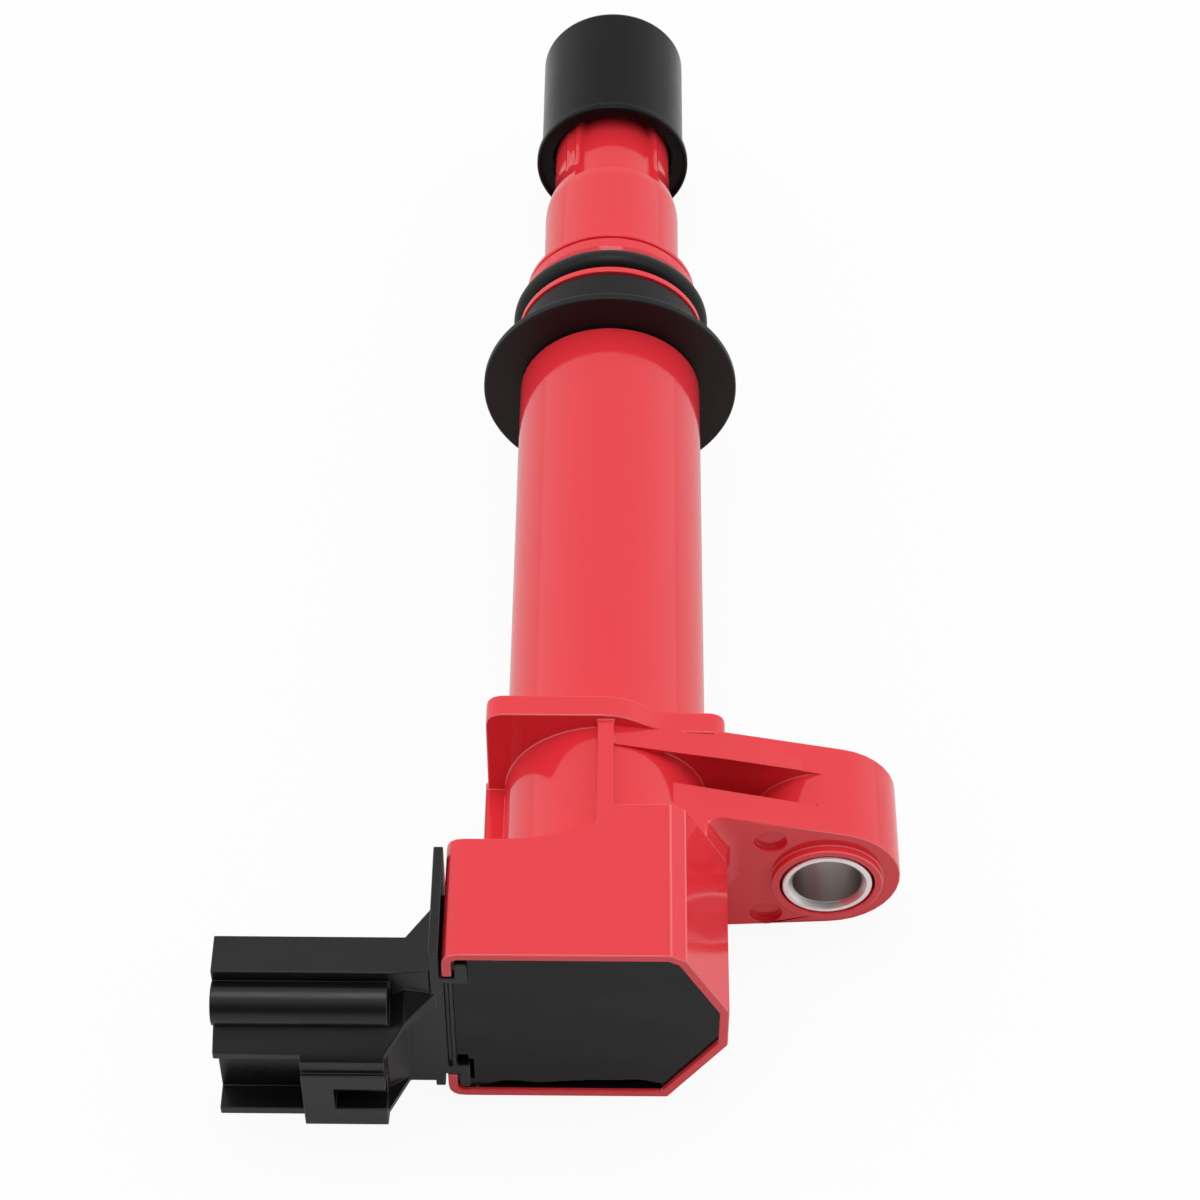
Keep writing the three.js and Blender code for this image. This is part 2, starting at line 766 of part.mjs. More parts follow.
// The spring's sections, one after another: a round wire that climbs evenly, with straight ends
function springRings() {
  const steps = springTurns * springStepsPerTurn;
  const lastTurn = springTurns * 2 * Math.PI;
  const climb = springLength - 2 * springWire;
  const slope = Math.atan2(climb / springTurns, 2 * Math.PI * springRadius);
  const ringAt = (turn) => {
    const out = new THREE.Vector3(Math.sin(turn), 0, Math.cos(turn));
    const up = new THREE.Vector3(
      -Math.sin(slope) * Math.cos(turn), Math.cos(slope), Math.sin(slope) * Math.sin(turn));
    const centre = out.clone().multiplyScalar(springRadius);
    centre.y = springStart + springWire + climb * turn / lastTurn;
    const ring = [];
    for (let i = 0; i < springSides; i += 1) {
      const around = (i / springSides) * 2 * Math.PI;
      ring.push(centre.clone()
        .addScaledVector(out, springWire * Math.cos(around))
        .addScaledVector(up, springWire * Math.sin(around)));
    }
    return ring;
  };
  const rings = [];
  for (let i = 0; i <= steps; i += 1) rings.push(ringAt((i / steps) * lastTurn));
  const along = (turn) => new THREE.Vector3(
    Math.cos(slope) * Math.cos(turn), Math.sin(slope), -Math.cos(slope) * Math.sin(turn));
  const shift = (ring, direction, length) => ring.map((p) => p.clone().addScaledVector(direction, length));
  rings.unshift(shift(rings[0], along(0), -2 * springWire));
  rings.push(shift(rings.at(-1), along(lastTurn), 2 * springWire));
  return rings;
}

// The faces that close a flat ring, turned the way the ring runs
function capFaces(ring) {
  const normal = ring.reduce(
    (sum, p, i) => sum.add(p.clone().cross(ring[(i + 1) % ring.length])), new THREE.Vector3());
  const axes = ['x', 'y', 'z'].sort((a, b) => Math.abs(normal[a]) - Math.abs(normal[b])).slice(0, 2);
  const flat = ring.map((p) => new THREE.Vector2(p[axes[0]], p[axes[1]]));
  return THREE.ShapeUtils.triangulateShape(flat, []).map(([a, b, c]) => {
    const face = ring[b].clone().sub(ring[a]).cross(ring[c].clone().sub(ring[a]));
    return face.dot(normal) < 0 ? [a, c, b] : [a, b, c];
  });
}

// Skins a row of rings that all have the same number of points, and closes both ends
function skinned(rings) {
  const count = rings[0].length;
  const positions = rings.flatMap((ring) => ring.flatMap((p) => p.toArray()));
  const index = [];
  for (let i = 0; i + 1 < rings.length; i += 1) {
    for (let k = 0; k < count; k += 1) {
      const next = (k + 1) % count;
      const [a, b, c, d] = [i * count + k, i * count + next, (i + 1) * count + k, (i + 1) * count + next];
      index.push(a, b, d, a, d, c);
    }
  }
  const last = (rings.length - 1) * count;
  capFaces(rings[0]).forEach(([a, b, c]) => index.push(c, b, a));
  capFaces(rings.at(-1)).forEach(([a, b, c]) => index.push(last + a, last + b, last + c));
  const geometry = new THREE.BufferGeometry();
  geometry.setAttribute('position', new THREE.Float32BufferAttribute(positions, 3));
  geometry.setIndex(index);
  return asSolid(geometry);
}

function contactSpring() {
  const rings = springRings();
  const centres = rings.map((ring) => ring
    .reduce((sum, p) => sum.add(p), new THREE.Vector3())
    .divideScalar(ring.length));
  let gap = Infinity;
  centres.forEach((p, i) => {
    for (let k = i + springStepsPerTurn / 2; k < centres.length; k += 1) {
      gap = Math.min(gap, p.distanceTo(centres[k]) - 2 * springWire);
    }
  });
  console.log(`contact_spring: least gap between its turns ${gap.toFixed(2)} mm`);
  return skinned(rings);
}

// Connector insert

// Shell section: points in Y and Z, from the bottom of the back round over the top
function shellCorners() {
  return [
    [-shellBack, -shellBottom],
    [-shellBack, shellTop],
    [-topStripFront, shellTop],
    [-topStripFront, creaseHeight],
    [-ledgeFront, ledgeHeight],
    [-ledgeFront, ledgeHeight - ledgeThickness],
    [-lowerWallFront, lowerWallTop],
    [-lowerWallFront, lowerFlangeThickness - shellBottom],
    [-lowerFlangeFront, lowerFlangeThickness - shellBottom],
    [-lowerFlangeFront, -shellBottom],
  ];
}

// The same points where the neck meets the side plate, as shares of the plate's edge
function neckCorners() {
  return [
    [-neckBack, -neckHalfHeight],
    [-neckBack, neckHalfHeight],
    ...neckEdgeShares.map((share) => [-headFace, share * neckHalfHeight]),
  ];
}

function neck() {
  const shell = shellCorners();
  const plate = neckCorners();
  const middle = shell.map(([y, z], i) => {
    const share = neckMiddleShares[i];
    return [y + (plate[i][0] - y) * share, z + (plate[i][1] - z) * share];
  });
  const overlap = sidePlateThickness / 2;
  const at = (corners, x) => corners.map(([y, z]) => new THREE.Vector3(x, y, z));
  return skinned([
    at(shell, -shellRoot - overlap),
    at(shell, -shellRoot),
    at(middle, -neckMiddle),
    at(plate, -headLeft - clearance - overlap),
  ]);
}

function latchPlate() {
  const slope = (creaseHeight - ledgeHeight) / (ledgeFront - topStripFront);
  const latchTop = ledgeHeight - slope * (latchFront - ledgeFront);
  const bandBottom = latchTop - latchBandHeight;
  const plate = prismAlongX(roundedShape([
    [-lowerWallFront + overrun, lowerWallTop],
    [-lowerWallFront + overrun, -latchBottom],
    [-latchFront, -latchBottom],
    [-latchFront, bandBottom],
    [-latchFront + latchBandDepth, bandBottom],
    [-latchFront + latchBandDepth, latchTop],
    [-ledgeFront, ledgeHeight],
  ]), -latchLeft, -shellRoot);
  const slot = block(-latchSlotLeft, -shellRoot + overrun, -latchFront - overrun,
    -latchFront + latchSlotDepth, -latchSlotBottom, -latchSlotTop);
  return plate.subtract(slot);
}

const bladeY = bladeShift - (socketBack + socketFront) / 2;
const bladePlaces = {
  terminal_power: bladePitch,
  terminal_ground: 0,
  terminal_driver: -bladePitch,
};

function bladeCuts(margin) {
  const wide = bladeWidth / 2 + margin;
  const thick = bladeThickness / 2 + margin;
  return Object.values(bladePlaces).map((z) => block(-shellMouth + bladeRecess, -bladeInnerEnd + margin,
    bladeY - thick, bladeY + thick, z - wide, z + wide));
}

const webInner = -headLeft + headWall;
const webHalf = windowHalfHeight - clearance;
const webBack = -windowBack - clearance;

// Hooks behind the head's wall, which hold the insert while the resin sets:
// each is a foot on the web's inner face and a tongue past the end of the window
function connectorHooks() {
  const hooks = [[1, upperHookStart, upperHookWidth], [-1, lowerHookStart, lowerHookWidth]];
  return hooks.map(([side, start, width]) => {
    const near = webInner + clearance;
    const shape = roundedShape([
      [webInner - clearance, side * start],
      [near + width, side * start],
      [near + width, side * hookEnd, hookRadius],
      [near, side * hookEnd, hookRadius],
      [near, side * webHalf],
      [webInner - clearance, side * webHalf],
    ]);
    return slabAlongY(shape, -headFace, webBack);
  });
}

// The room that the hooks take up in the resin
function hookCuts() {
  const near = webInner;
  return [
    block(near, near + upperHookWidth + 2 * clearance, -headFace - overrun, webBack + clearance,
      upperHookStart - clearance, hookEnd + clearance),
    block(near, near + lowerHookWidth + 2 * clearance, -headFace - overrun, webBack + clearance,
      -hookEnd - clearance, -lowerHookStart + clearance),
  ];
}

function connectorShell() {
  const plateOuter = -headLeft - clearance - sidePlateThickness;
  const joint = plateOuter + sidePlateThickness;
  const front = -headFace;
  const body = joined(
    prismAlongX(roundedShape(shellCorners()), -shellMouth, -shellRoot),
    prismAlongX(circle(-keyRibY, keyRibZ, keyRibRadius), -shellMouth, -keyRibEnd, 2 * cornerSteps),
    neck(),
    latchPlate(),
    block(plateOuter, joint, front, -sidePlateBack, -sidePlateBottom, headHalfHeight),
    block(joint - clearance, webInner, front, webBack, -webHalf, webHalf),
    ...connectorHooks(),
  );
  const socket = [
    [-socketFront, -socketHalfHeight, socketCornerRadius], [-socketBack, -socketHalfHeight, socketCornerRadius],
    [-socketBack, socketHalfHeight, socketCornerRadius], [-socketFront, socketHalfHeight, socketCornerRadius],
  ];
  const slitX = -headLeft + slitInset;
  return without(
    body,
    prismAlongX(roundedShape(socket), -shellMouth - overrun, -shellMouth + socketDepth),
    block(slitX, slitX + slitWidth, front - overrun, front + slitDepth, -slitBottom, slitTop),
    ...bladeCuts(clearance),
  );
}

function circle(x, y, radius) {
  const shape = new THREE.Shape();
  shape.absarc(x, y, radius, 0, 2 * Math.PI);
  return shape;
}

function blade(z) {
  const half = bladeWidth / 2;
  const tip = half * bladeTipShare;
  const start = -shellMouth + bladeRecess;
  const plan = roundedShape([
    [start, -tip + z], [start + bladeWidth / 2, -half + z], [-bladeInnerEnd, -half + z],
    [-bladeInnerEnd, half + z], [start + bladeWidth / 2, half + z], [start, tip + z],
  ]);
  return slabAlongY(plan, bladeY - bladeThickness / 2, bladeY + bladeThickness / 2);
}

// Leads inside the head

const primaryLeadTurn = THREE.MathUtils.degToRad(primaryLeadAngle);

const leadStartX = -bladeInnerEnd - leadRadius - clearance;
const leadStartY = bladeY + bladeThickness / 2 + clearance;

function headLeadPath(startZ, endRadius, endTurn, endY) {
  const end = [endRadius * Math.cos(endTurn), endRadius * Math.sin(endTurn)];
  const bend = leadStartY + leadBend;
  return new THREE.CubicBezierCurve3(
    new THREE.Vector3(leadStartX, leadStartY, startZ),
    new THREE.Vector3(leadStartX, bend, startZ),
    new THREE.Vector3(end[0], bend, end[1]),
    new THREE.Vector3(end[0], endY - clearance, end[1]),
  );
}

const leadPaths = {
  power_lead: headLeadPath(bladePitch, primaryOuter - leadRadius, primaryLeadTurn, primaryStart),
  driver_lead: headLeadPath(-bladePitch, primaryOuter - leadRadius, -primaryLeadTurn, primaryStart),
  ground_lead: headLeadPath(0, secondaryOuter - leadRadius, Math.PI, stackStart),
};

function hvLead() {
  const radius = secondaryOuter - leadRadius;
  const path = new THREE.LineCurve3(
    new THREE.Vector3(radius, stackEnd + clearance, 0),
    new THREE.Vector3(hvStemRadius, hvFlangeStart - clearance, 0),
  );
  return roundWire(path, leadRadius, 1);
}

function potting() {
  const outline = roundedShape(headCorners(headWall + clearance));
  const filling = slabAlongY(outline, -headFace + pottingRecess, -headFloor - clearance);
  return without(
    filling,
    ...hookCuts(),
    ...bladeCuts(clearance),
    ...Object.values(leadPaths).map((path) => roundWire(path, leadRadius + clearance, leadSteps)),
  );
}

// The whole coil

function node(name, solid, paint) {
  const mesh = new THREE.Mesh(asGeometry(solid), new THREE.MeshStandardMaterial(paint));
  mesh.name = name;
  return mesh;
}

const coil = new THREE.Group();
coil.add(
  node('housing', housing(), paints.red),
  node('hv_tower', hvTower(), paints.red),
  node('compression_limiter', compressionLimiter(), paints.steel),
  node('connector_shell', connectorShell(), paints.black),
  node('potting', potting(), paints.resin),
  node('flange_seal', flangeSeal(), paints.rubber),
  node('o_ring', oRing(), paints.rubber),
  node('plug_boot', plugBoot(), paints.rubber),
  ...Object.entries(bladePlaces).map(([name, z]) => node(name, blade(z), paints.brass)),
  ...Object.entries(leadPaths).map(([name, path]) => node(
    name, roundWire(path, leadRadius, leadSteps), paints.copper)),
  ...corePieces().map(([name, solid, paint]) => node(name, solid, paint)),
  node('secondary_bobbin', bobbin(
    secondaryBobbinInner, secondaryBobbinWall, secondaryOuter, stackStart, stackEnd), paints.bobbin),
  node('secondary_winding', winding(
    secondaryWindingInner, secondaryOuter, stackStart, stackEnd, windingTaper), paints.copper),
  node('primary_bobbin', bobbin(
    primaryBobbinInner, primaryBobbinWall, primaryOuter, primaryStart, primaryEnd), paints.bobbin),
  node('primary_winding', winding(
    primaryWindingInner, primaryOuter, primaryStart, primaryEnd, clearance), paints.copper),
  node('steel_shield', steelShield(), paints.iron),
  node('hv_lead', hvLead(), paints.copper),
  node('hv_terminal', hvTerminal(), paints.brass),
  node('suppressor_resistor', suppressorResistor(), paints.ceramic),
  node('contact_spring', contactSpring(), paints.steel),
  node('contact_cap', contactCap(), paints.brass),
);

// The origin goes to the middle of the underside of the coil's box
const leftEnd = -shellMouth;
const rightEnd = earCentreX + earRadius;
coil.position.set(-(leftEnd + rightEnd) / 2, -(bootEnd - latchFront) / 2, sealFlangeRadius);

export default coil;
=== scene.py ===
"""Pencil ignition coil lying on its side: finishes, fine surfaces and a plain studio."""

import math

import bmesh
import bpy
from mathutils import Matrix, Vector

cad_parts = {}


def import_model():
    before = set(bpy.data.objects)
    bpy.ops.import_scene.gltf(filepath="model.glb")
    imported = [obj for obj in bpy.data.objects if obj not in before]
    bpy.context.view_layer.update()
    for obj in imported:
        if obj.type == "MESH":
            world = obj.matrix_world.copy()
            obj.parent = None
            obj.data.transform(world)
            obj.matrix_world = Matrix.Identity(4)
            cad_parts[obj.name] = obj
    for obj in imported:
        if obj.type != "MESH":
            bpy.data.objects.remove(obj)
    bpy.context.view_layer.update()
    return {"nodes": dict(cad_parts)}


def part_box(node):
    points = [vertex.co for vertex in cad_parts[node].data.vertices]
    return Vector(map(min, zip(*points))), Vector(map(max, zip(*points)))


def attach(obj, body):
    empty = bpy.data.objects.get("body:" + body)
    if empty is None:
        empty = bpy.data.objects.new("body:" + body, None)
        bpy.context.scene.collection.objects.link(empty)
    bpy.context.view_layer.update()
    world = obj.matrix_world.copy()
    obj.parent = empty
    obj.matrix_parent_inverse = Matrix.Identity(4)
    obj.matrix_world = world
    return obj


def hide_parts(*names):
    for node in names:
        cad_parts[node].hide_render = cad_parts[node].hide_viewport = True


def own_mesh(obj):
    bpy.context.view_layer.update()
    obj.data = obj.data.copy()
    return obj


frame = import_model()

# Places are millimetres from the tube's axis and the near face of the mounting plate
MM = 0.001
PLATE_THICKNESS = 3
core_low, core_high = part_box("iron_core")
plate_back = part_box("compression_limiter")[1].y
ORIGIN = Vector((
    (core_low.x + core_high.x) / 2, plate_back - PLATE_THICKNESS * MM, (core_low.z + core_high.z) / 2))
# Two places nearer than this are one, in millimetres
SAME = 0.02


def place(x, y, z):
    return ORIGIN + Vector((x, y, z)) * MM


def reach(node):
    """Lowest and highest corner of a CAD node, in millimetres from the same place."""
    low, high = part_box(node)
    return (low - ORIGIN) / MM, (high - ORIGIN) / MM


# Materials: sizes of patterns are in millimetres

CLOUD_SIZE = 12
GLOSS_PATCH_SIZE = 5
SINK_SIZE = 9
METAL_CLOUD_SIZE = 2.5
METAL_PATCH_SIZE = 1.2
LATHE_PITCH = 0.22
LATHE_DEPTH = 0.0006
WIRE_PITCH = 0.5
WIRE_DEPTH = 0.03
# Where the painted shade in the bolt hole starts to fade and where it is gone, outside its bore
BORE_SHADE_FADE = 0.1, 0.5


def linear(code):
    """An sRGB hex colour as linear values."""
    parts = [int(code[i:i + 2], 16) / 255 for i in (1, 3, 5)]
    return (*[c / 12.92 if c <= 0.04045 else ((c + 0.055) / 1.055) ** 2.4 for c in parts], 1)


def scale_for(size_mm):
    """The scale at which a noise's features are about that many millimetres across."""
    return 1 / (size_mm * MM)


def fill_sockets(tree, node, sockets):
    """Gives sockets plain values or links. A node given as a value links its first output in use."""
    for name, value in sockets.items():
        if isinstance(value, bpy.types.Node):
            value = next(output for output in value.outputs if output.enabled)
        if isinstance(value, bpy.types.NodeSocket):
            tree.links.new(value, node.inputs[name])
        else:
            node.inputs[name].default_value = value


def add_node(tree, kind, sockets, **settings):
    """Adds a shader node with its settings and its sockets' values or links."""
    made = tree.nodes.new("ShaderNode" + kind)
    for name, value in settings.items():
        setattr(made, name, value)
    fill_sockets(tree, made, sockets)
    return made


def start_material(name, colour, **sockets):
    """A material with its shader, the shader's plain values, and a place in metres to lay patterns on."""
    material = bpy.data.materials.new(name)
    material.use_nodes = True
    material.diffuse_color = linear(colour)
    tree = material.node_tree
    shader = tree.nodes["Principled BSDF"]
    plain = {socket.replace("_", " "): value for socket, value in sockets.items()}
    fill_sockets(tree, shader, {"Base Color": linear(colour), **plain})
    where = add_node(tree, "TexCoord", {}).outputs["Object"]
    return material, tree, shader, where


def moulded(name, tones, gloss, grain_mm, grain_depth_mm, sink_depth_mm, painted_edge_highlight=None, **sockets):
    """A moulded surface: two close tones, patches of gloss, slow sink marks and the fine grain of the tool.
    Its last tone is a paler one painted on the middle of its rounded outer edges, a painted highlight of the
    light they catch."""
    material, tree, shader, where = start_material(name, tones[0], **sockets)
    clouds = add_node(tree, "TexNoise", {"Vector": where, "Scale": scale_for(CLOUD_SIZE), "Detail": 3})
    tone = add_node(tree, "Mix", {
        "Factor": clouds, "A": linear(tones[0]), "B": linear(tones[1])}, data_type="RGBA")
    # Painted highlight: a paler tone on the middle of the rounded outer edges
    if painted_edge_highlight:
        edges = add_node(tree, "Attribute", {}, attribute_name="painted_edge_highlight").outputs["Fac"]
        tone = add_node(tree, "Mix", {
            "Factor": edges, "A": tone.outputs["Result"], "B": linear(painted_edge_highlight)}, data_type="RGBA")
    patches = add_node(tree, "TexNoise", {"Vector": where, "Scale": scale_for(GLOSS_PATCH_SIZE), "Detail": 4})
    shine = add_node(tree, "MapRange", {
        "Value": patches, "From Min": 0.3, "From Max": 0.7, "To Min": gloss[0], "To Max": gloss[1]})
    sinks = add_node(tree, "TexNoise", {"Vector": where, "Scale": scale_for(SINK_SIZE), "Detail": 1})
    slow = add_node(tree, "Bump", {"Height": sinks, "Distance": sink_depth_mm * MM, "Strength": 1})
    grain = add_node(tree, "TexNoise", {
        "Vector": where, "Scale": scale_for(grain_mm), "Detail": 3, "Roughness": 0.6})
    fine = add_node(tree, "Bump", {
        "Height": grain, "Distance": grain_depth_mm * MM, "Strength": 1, "Normal": slow})
    fill_sockets(tree, shader, {"Base Color": tone, "Roughness": shine, "Normal": fine})
    return material


def red_polyester():
    """Glass-filled polyester, moulded in a polished tool: a clear red with soft mirror reflections.
    Its grain is about 0.1 mm and is drawn at 0.4 mm, so that it shows."""
    # Its last tone is a painted highlight on the rounded edges
    return moulded(
        "red_polyester", ("#E5333D", "#E3313B"), (0.08, 0.12), 0.4, 0.0003, 0.002, "#EC6A6E", IOR=1.5)


def black_nylon():
    """Glass-filled black nylon, moulded in a finely sparked tool: satin, with a grey bloom from the glass.
    Its grain is about 0.1 mm and is drawn at 0.35 mm."""
    # Its last tone is a painted highlight on the rounded edges
    return moulded("black_nylon", ("#0E0F0F", "#121212"), (0.26, 0.34), 0.35, 0.002, 0.004, "#2C2C2C", IOR=1.4)


def potting_resin():
    """Filled black epoxy, poured and cured: smooth, with slow waves from the pour."""
    return moulded("potting_resin", ("#0E0E0D", "#110F0F"), (0.14, 0.2), 0.5, 0.0003, 0.006, IOR=1.28)


def seal_rubber():
    """Silicone rubber of the seals: dull black, with a fine skin."""
    return moulded("seal_rubber", ("#141212", "#171515"), (0.36, 0.46), 0.4, 0.002, 0.004, IOR=1.32)


def boot_rubber():
    """Rubber of the boot: black, smoother than the seals, with a bloom that greys it where it turns away."""
    return moulded(
        "boot_rubber", ("#131212", "#151414"), (0.22, 0.3), 0.35, 0.002, 0.004,
        IOR=1.22, Sheen_Weight=0.12, Sheen_Roughness=0.25)


def ferrite():
    """Sintered ferrite, ground flat: charcoal grey and slightly gritty."""
    return moulded("ferrite", ("#35373A", "#3D3F42"), (0.5, 0.6), 0.3, 0.01, 0.0, IOR=1.9)


def bobbin_plastic():
    """Unfilled polyester of the bobbins, moulded: ivory and smooth."""
    return moulded("bobbin_plastic", ("#D8CFB8", "#D2C8AE"), (0.36, 0.46), 0.3, 0.002, 0.01, IOR=1.55)


def resistor_ceramic():
    """Fired alumina: off-white, matt and faintly grainy."""
    return moulded("resistor_ceramic", ("#E6E1D6", "#DDD7CA"), (0.45, 0.55), 0.25, 0.004, 0.0, IOR=1.7)


def plain_metal(name, tones, gloss, mark_mm, mark_depth_mm):
    """A metal surface: two close tones, patches of gloss and fine marks."""
    material, tree, shader, where = start_material(name, tones[0], Metallic=1)
    clouds = add_node(tree, "TexNoise", {"Vector": where, "Scale": scale_for(METAL_CLOUD_SIZE), "Detail": 3})
    tone = add_node(tree, "Mix", {
        "Factor": clouds, "A": linear(tones[0]), "B": linear(tones[1])}, data_type="RGBA")
    patches = add_node(tree, "TexNoise", {"Vector": where, "Scale": scale_for(METAL_PATCH_SIZE), "Detail": 4})
    shine = add_node(tree, "MapRange", {
        "Value": patches, "From Min": 0.3, "From Max": 0.7, "To Min": gloss[0], "To Max": gloss[1]})
    marks = add_node(tree, "TexNoise", {"Vector": where, "Scale": scale_for(mark_mm), "Detail": 3})
    worn = add_node(tree, "Bump", {"Height": marks, "Distance": mark_depth_mm * MM, "Strength": 1})
    fill_sockets(tree, shader, {"Base Color": tone, "Roughness": shine, "Normal": worn})
    return material


def tinned_brass():
    """Tin-plated brass, stamped: pale and soft, with a warm tone below."""
    return plain_metal("tinned_brass", ("#CBBF9A", "#BFB28A"), (0.25, 0.36), 0.5, 0.003)


def spring_wire():
    """Drawn spring steel: bright, with a grey film of oil."""
    return plain_metal("spring_wire", ("#B8B8B6", "#A9A9A8"), (0.2, 0.32), 0.3, 0.002)


def core_steel():
    """Rolled silicon steel: grey, dull from its insulating coat."""
    return plain_metal("core_steel", ("#7C8086", "#6C7076"), (0.38, 0.5), 0.6, 0.003)


def turned_steel():
    """Plated steel, turned on a lathe: fine rings round the bolt hole, 0.22 mm apart, that spread its shine.
    Its bore is painted a darker tone, a painted shade of the hollow."""
    material, tree, shader, where = start_material("turned_steel", "#CFC8C6", Metallic=1)
    low, high = reach("compression_limiter")
    axis = place((low.x + high.x) / 2, 0, (low.z + high.z) / 2)
    from_axis = add_node(tree, "Mapping", {
        "Vector": where, "Location": (-axis.x, 0, -axis.z), "Scale": (1, 0, 1)})
    radius = add_node(tree, "VectorMath", {"Vector": from_axis}, operation="LENGTH")
    turns = add_node(tree, "Math", {0: radius, 1: 2 * math.pi / (LATHE_PITCH * MM)}, operation="MULTIPLY")
    rings = add_node(tree, "Math", {0: turns}, operation="SINE")
    cut = add_node(tree, "Bump", {"Height": rings, "Distance": LATHE_DEPTH * MM, "Strength": 1})
    scratches = add_node(tree, "TexNoise", {
        "Vector": where, "Scale": scale_for(0.6), "Detail": 4, "Roughness": 0.7})
    worn = add_node(tree, "Bump", {"Height": scratches, "Distance": 0.003 * MM, "Strength": 1, "Normal": cut})
    patches = add_node(tree, "TexNoise", {"Vector": where, "Scale": scale_for(1.5), "Detail": 4})
    shine = add_node(tree, "MapRange", {
        "Value": patches, "From Min": 0.3, "From Max": 0.7, "To Min": 0.3, "To Max": 0.42})
    bore = (high.x - low.x) / 2 - LIMITER_WALL
    # Painted shade: the darker tone fills the bore and fades out just past it
    out_of_bore_shade = add_node(tree, "MapRange", {
        "Value": radius.outputs["Value"],
        "From Min": (bore + BORE_SHADE_FADE[0]) * MM, "From Max": (bore + BORE_SHADE_FADE[1]) * MM})
    tone = add_node(tree, "Mix", {
        "Factor": out_of_bore_shade, "A": linear("#B9B4B2"), "B": linear("#EEEAE8")}, data_type="RGBA")
    fill_sockets(tree, shader, {"Base Color": tone, "Roughness": shine, "Normal": worn})
    return material


def enamelled_copper():
    """Copper wire under clear enamel: warm, with the fine rings of its turns, 0.5 mm apart."""
    material, tree, shader, where = start_material(
        "enamelled_copper", "#B5602E", Metallic=1, Roughness=0.34, Coat_Weight=0.5, Coat_Roughness=0.12)
    along = add_node(tree, "SeparateXYZ", {"Vector": where}).outputs["Y"]
    turns = add_node(tree, "Math", {0: along, 1: 2 * math.pi / (WIRE_PITCH * MM)}, operation="MULTIPLY")
    wave = add_node(tree, "Math", {0: turns}, operation="SINE")
    wound = add_node(tree, "Bump", {"Height": wave, "Distance": WIRE_DEPTH * MM, "Strength": 1})
    fill_sockets(tree, shader, {"Normal": wound})
    return material


# Meshes: angles are in degrees

ROUND_SIDES = 144
ARC_STEPS = 5
STRAIGHT_SUPPORT = 0.05
# Walls that meet at less are shaded as one, and edges that turn by more are rounded
SHARP_ANGLE = 26
BEVEL_ANGLE = 30
TURNED_SHARP_ANGLE = 35
FLAT_ANGLE = 0.3
MERGED = 0.002
# A wall is round where its corners lie this near to the radius, and as far apart from it at most
ON_ROUND = 0.06
ROUND_SPREAD = 0.03


def rounded(outline):
    """A closed outline of (x, y, corner radius) points with each corner turned into an arc.
    A point just before and just after each arc keeps the shading of the straight parts flat."""
    points = []
    for i, (x, y, radius) in enumerate(outline):
        corner = Vector((x, y))
        to_last = Vector(outline[i - 1][:2]) - corner
        to_next = Vector(outline[(i + 1) % len(outline)][:2]) - corner
        if radius == 0:
            points.append(corner)
            continue
        half = to_last.angle(to_next) / 2
        turn = math.pi - 2 * half
        cut = radius / math.tan(half)
        to_last.normalize()
        to_next.normalize()
        middle = corner + (to_last + to_next).normalized() * radius / math.sin(half)
        start = corner + to_last * cut - middle
        end = corner + to_next * cut - middle
        points.append(corner + to_last * (cut + STRAIGHT_SUPPORT))
        for step in range(ARC_STEPS + 1):
            share = step / ARC_STEPS
            across = start * math.sin((1 - share) * turn) + end * math.sin(share * turn)
            points.append(middle + across / math.sin(turn))
        points.append(corner + to_next * (cut + STRAIGHT_SUPPORT))
    return points


def finished_mesh(shape, name):
    """A mesh from a closed bmesh, with its faces turned outwards and shaded smooth up to an angle."""
    bmesh.ops.recalc_face_normals(shape, faces=shape.faces)
    mesh = bpy.data.meshes.new(name)
    shape.to_mesh(mesh)
    shape.free()
    mesh.shade_smooth()
    mesh.set_sharp_from_angle(angle=math.radians(TURNED_SHARP_ANGLE))
    return mesh


def skin(shape, rings, closed):
    """Skins rings of as many points each. Closed joins the last ring to the first.
    Otherwise both ends get a face."""
    rows = [[shape.verts.new(point) for point in ring] for ring in rings]
    for i in range(len(rows) if closed else len(rows) - 1):
        row, following = rows[i], rows[(i + 1) % len(rows)]
        for k in range(len(row)):
            after = (k + 1) % len(row)
            shape.faces.new((row[k], row[after], following[after], following[k]))
    if not closed:
        shape.faces.new(rows[0])
        shape.faces.new(rows[-1])


def ring_mesh(name, rings, closed):
    shape = bmesh.new()
    skin(shape, rings, closed)
    return finished_mesh(shape, name)


def turned(name, profile, centre=(0, 0), angles=None, carve=None):
    """A closed profile of (radius, y, corner radius) points, turned round an axis along Y.
    Angles count from +Z towards +X, and carve gives the radius at an angle for a point of the profile."""
    points = rounded(profile)
    if angles is None:
        angles = [2 * math.pi * i / ROUND_SIDES for i in range(ROUND_SIDES)]
    rings = []
    for angle in angles:
        ring = []
        for radius, y in points:
            if carve:
                radius = carve(angle, radius, y)
            x = centre[0] + radius * math.sin(angle)
            ring.append(place(x, y, centre[1] + radius * math.cos(angle)))
        rings.append(ring)
    return ring_mesh(name, rings, closed=True)


def new_piece(name, mesh, body, slot, material, *stands_for):
    """A piece that rides on a body, takes the given material as its finish and stands for CAD nodes. Its slot
    is not used.
    """
    piece = bpy.data.objects.new(name, mesh)
    bpy.context.scene.collection.objects.link(piece)
    mesh.materials.clear()
    mesh.materials.append(material)
    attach(piece, body)
    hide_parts(*stands_for)
    return piece


def round_edges(piece, width_mm):
    """Rounds the sharp edges of a piece, so that they catch the light."""
    bevel = piece.modifiers.new("edges", "BEVEL")
    bevel.width = width_mm * MM
    bevel.segments = 2
    bevel.limit_method = "ANGLE"
    bevel.angle_limit = math.radians(SHARP_ANGLE)
    bevel.harden_normals = True


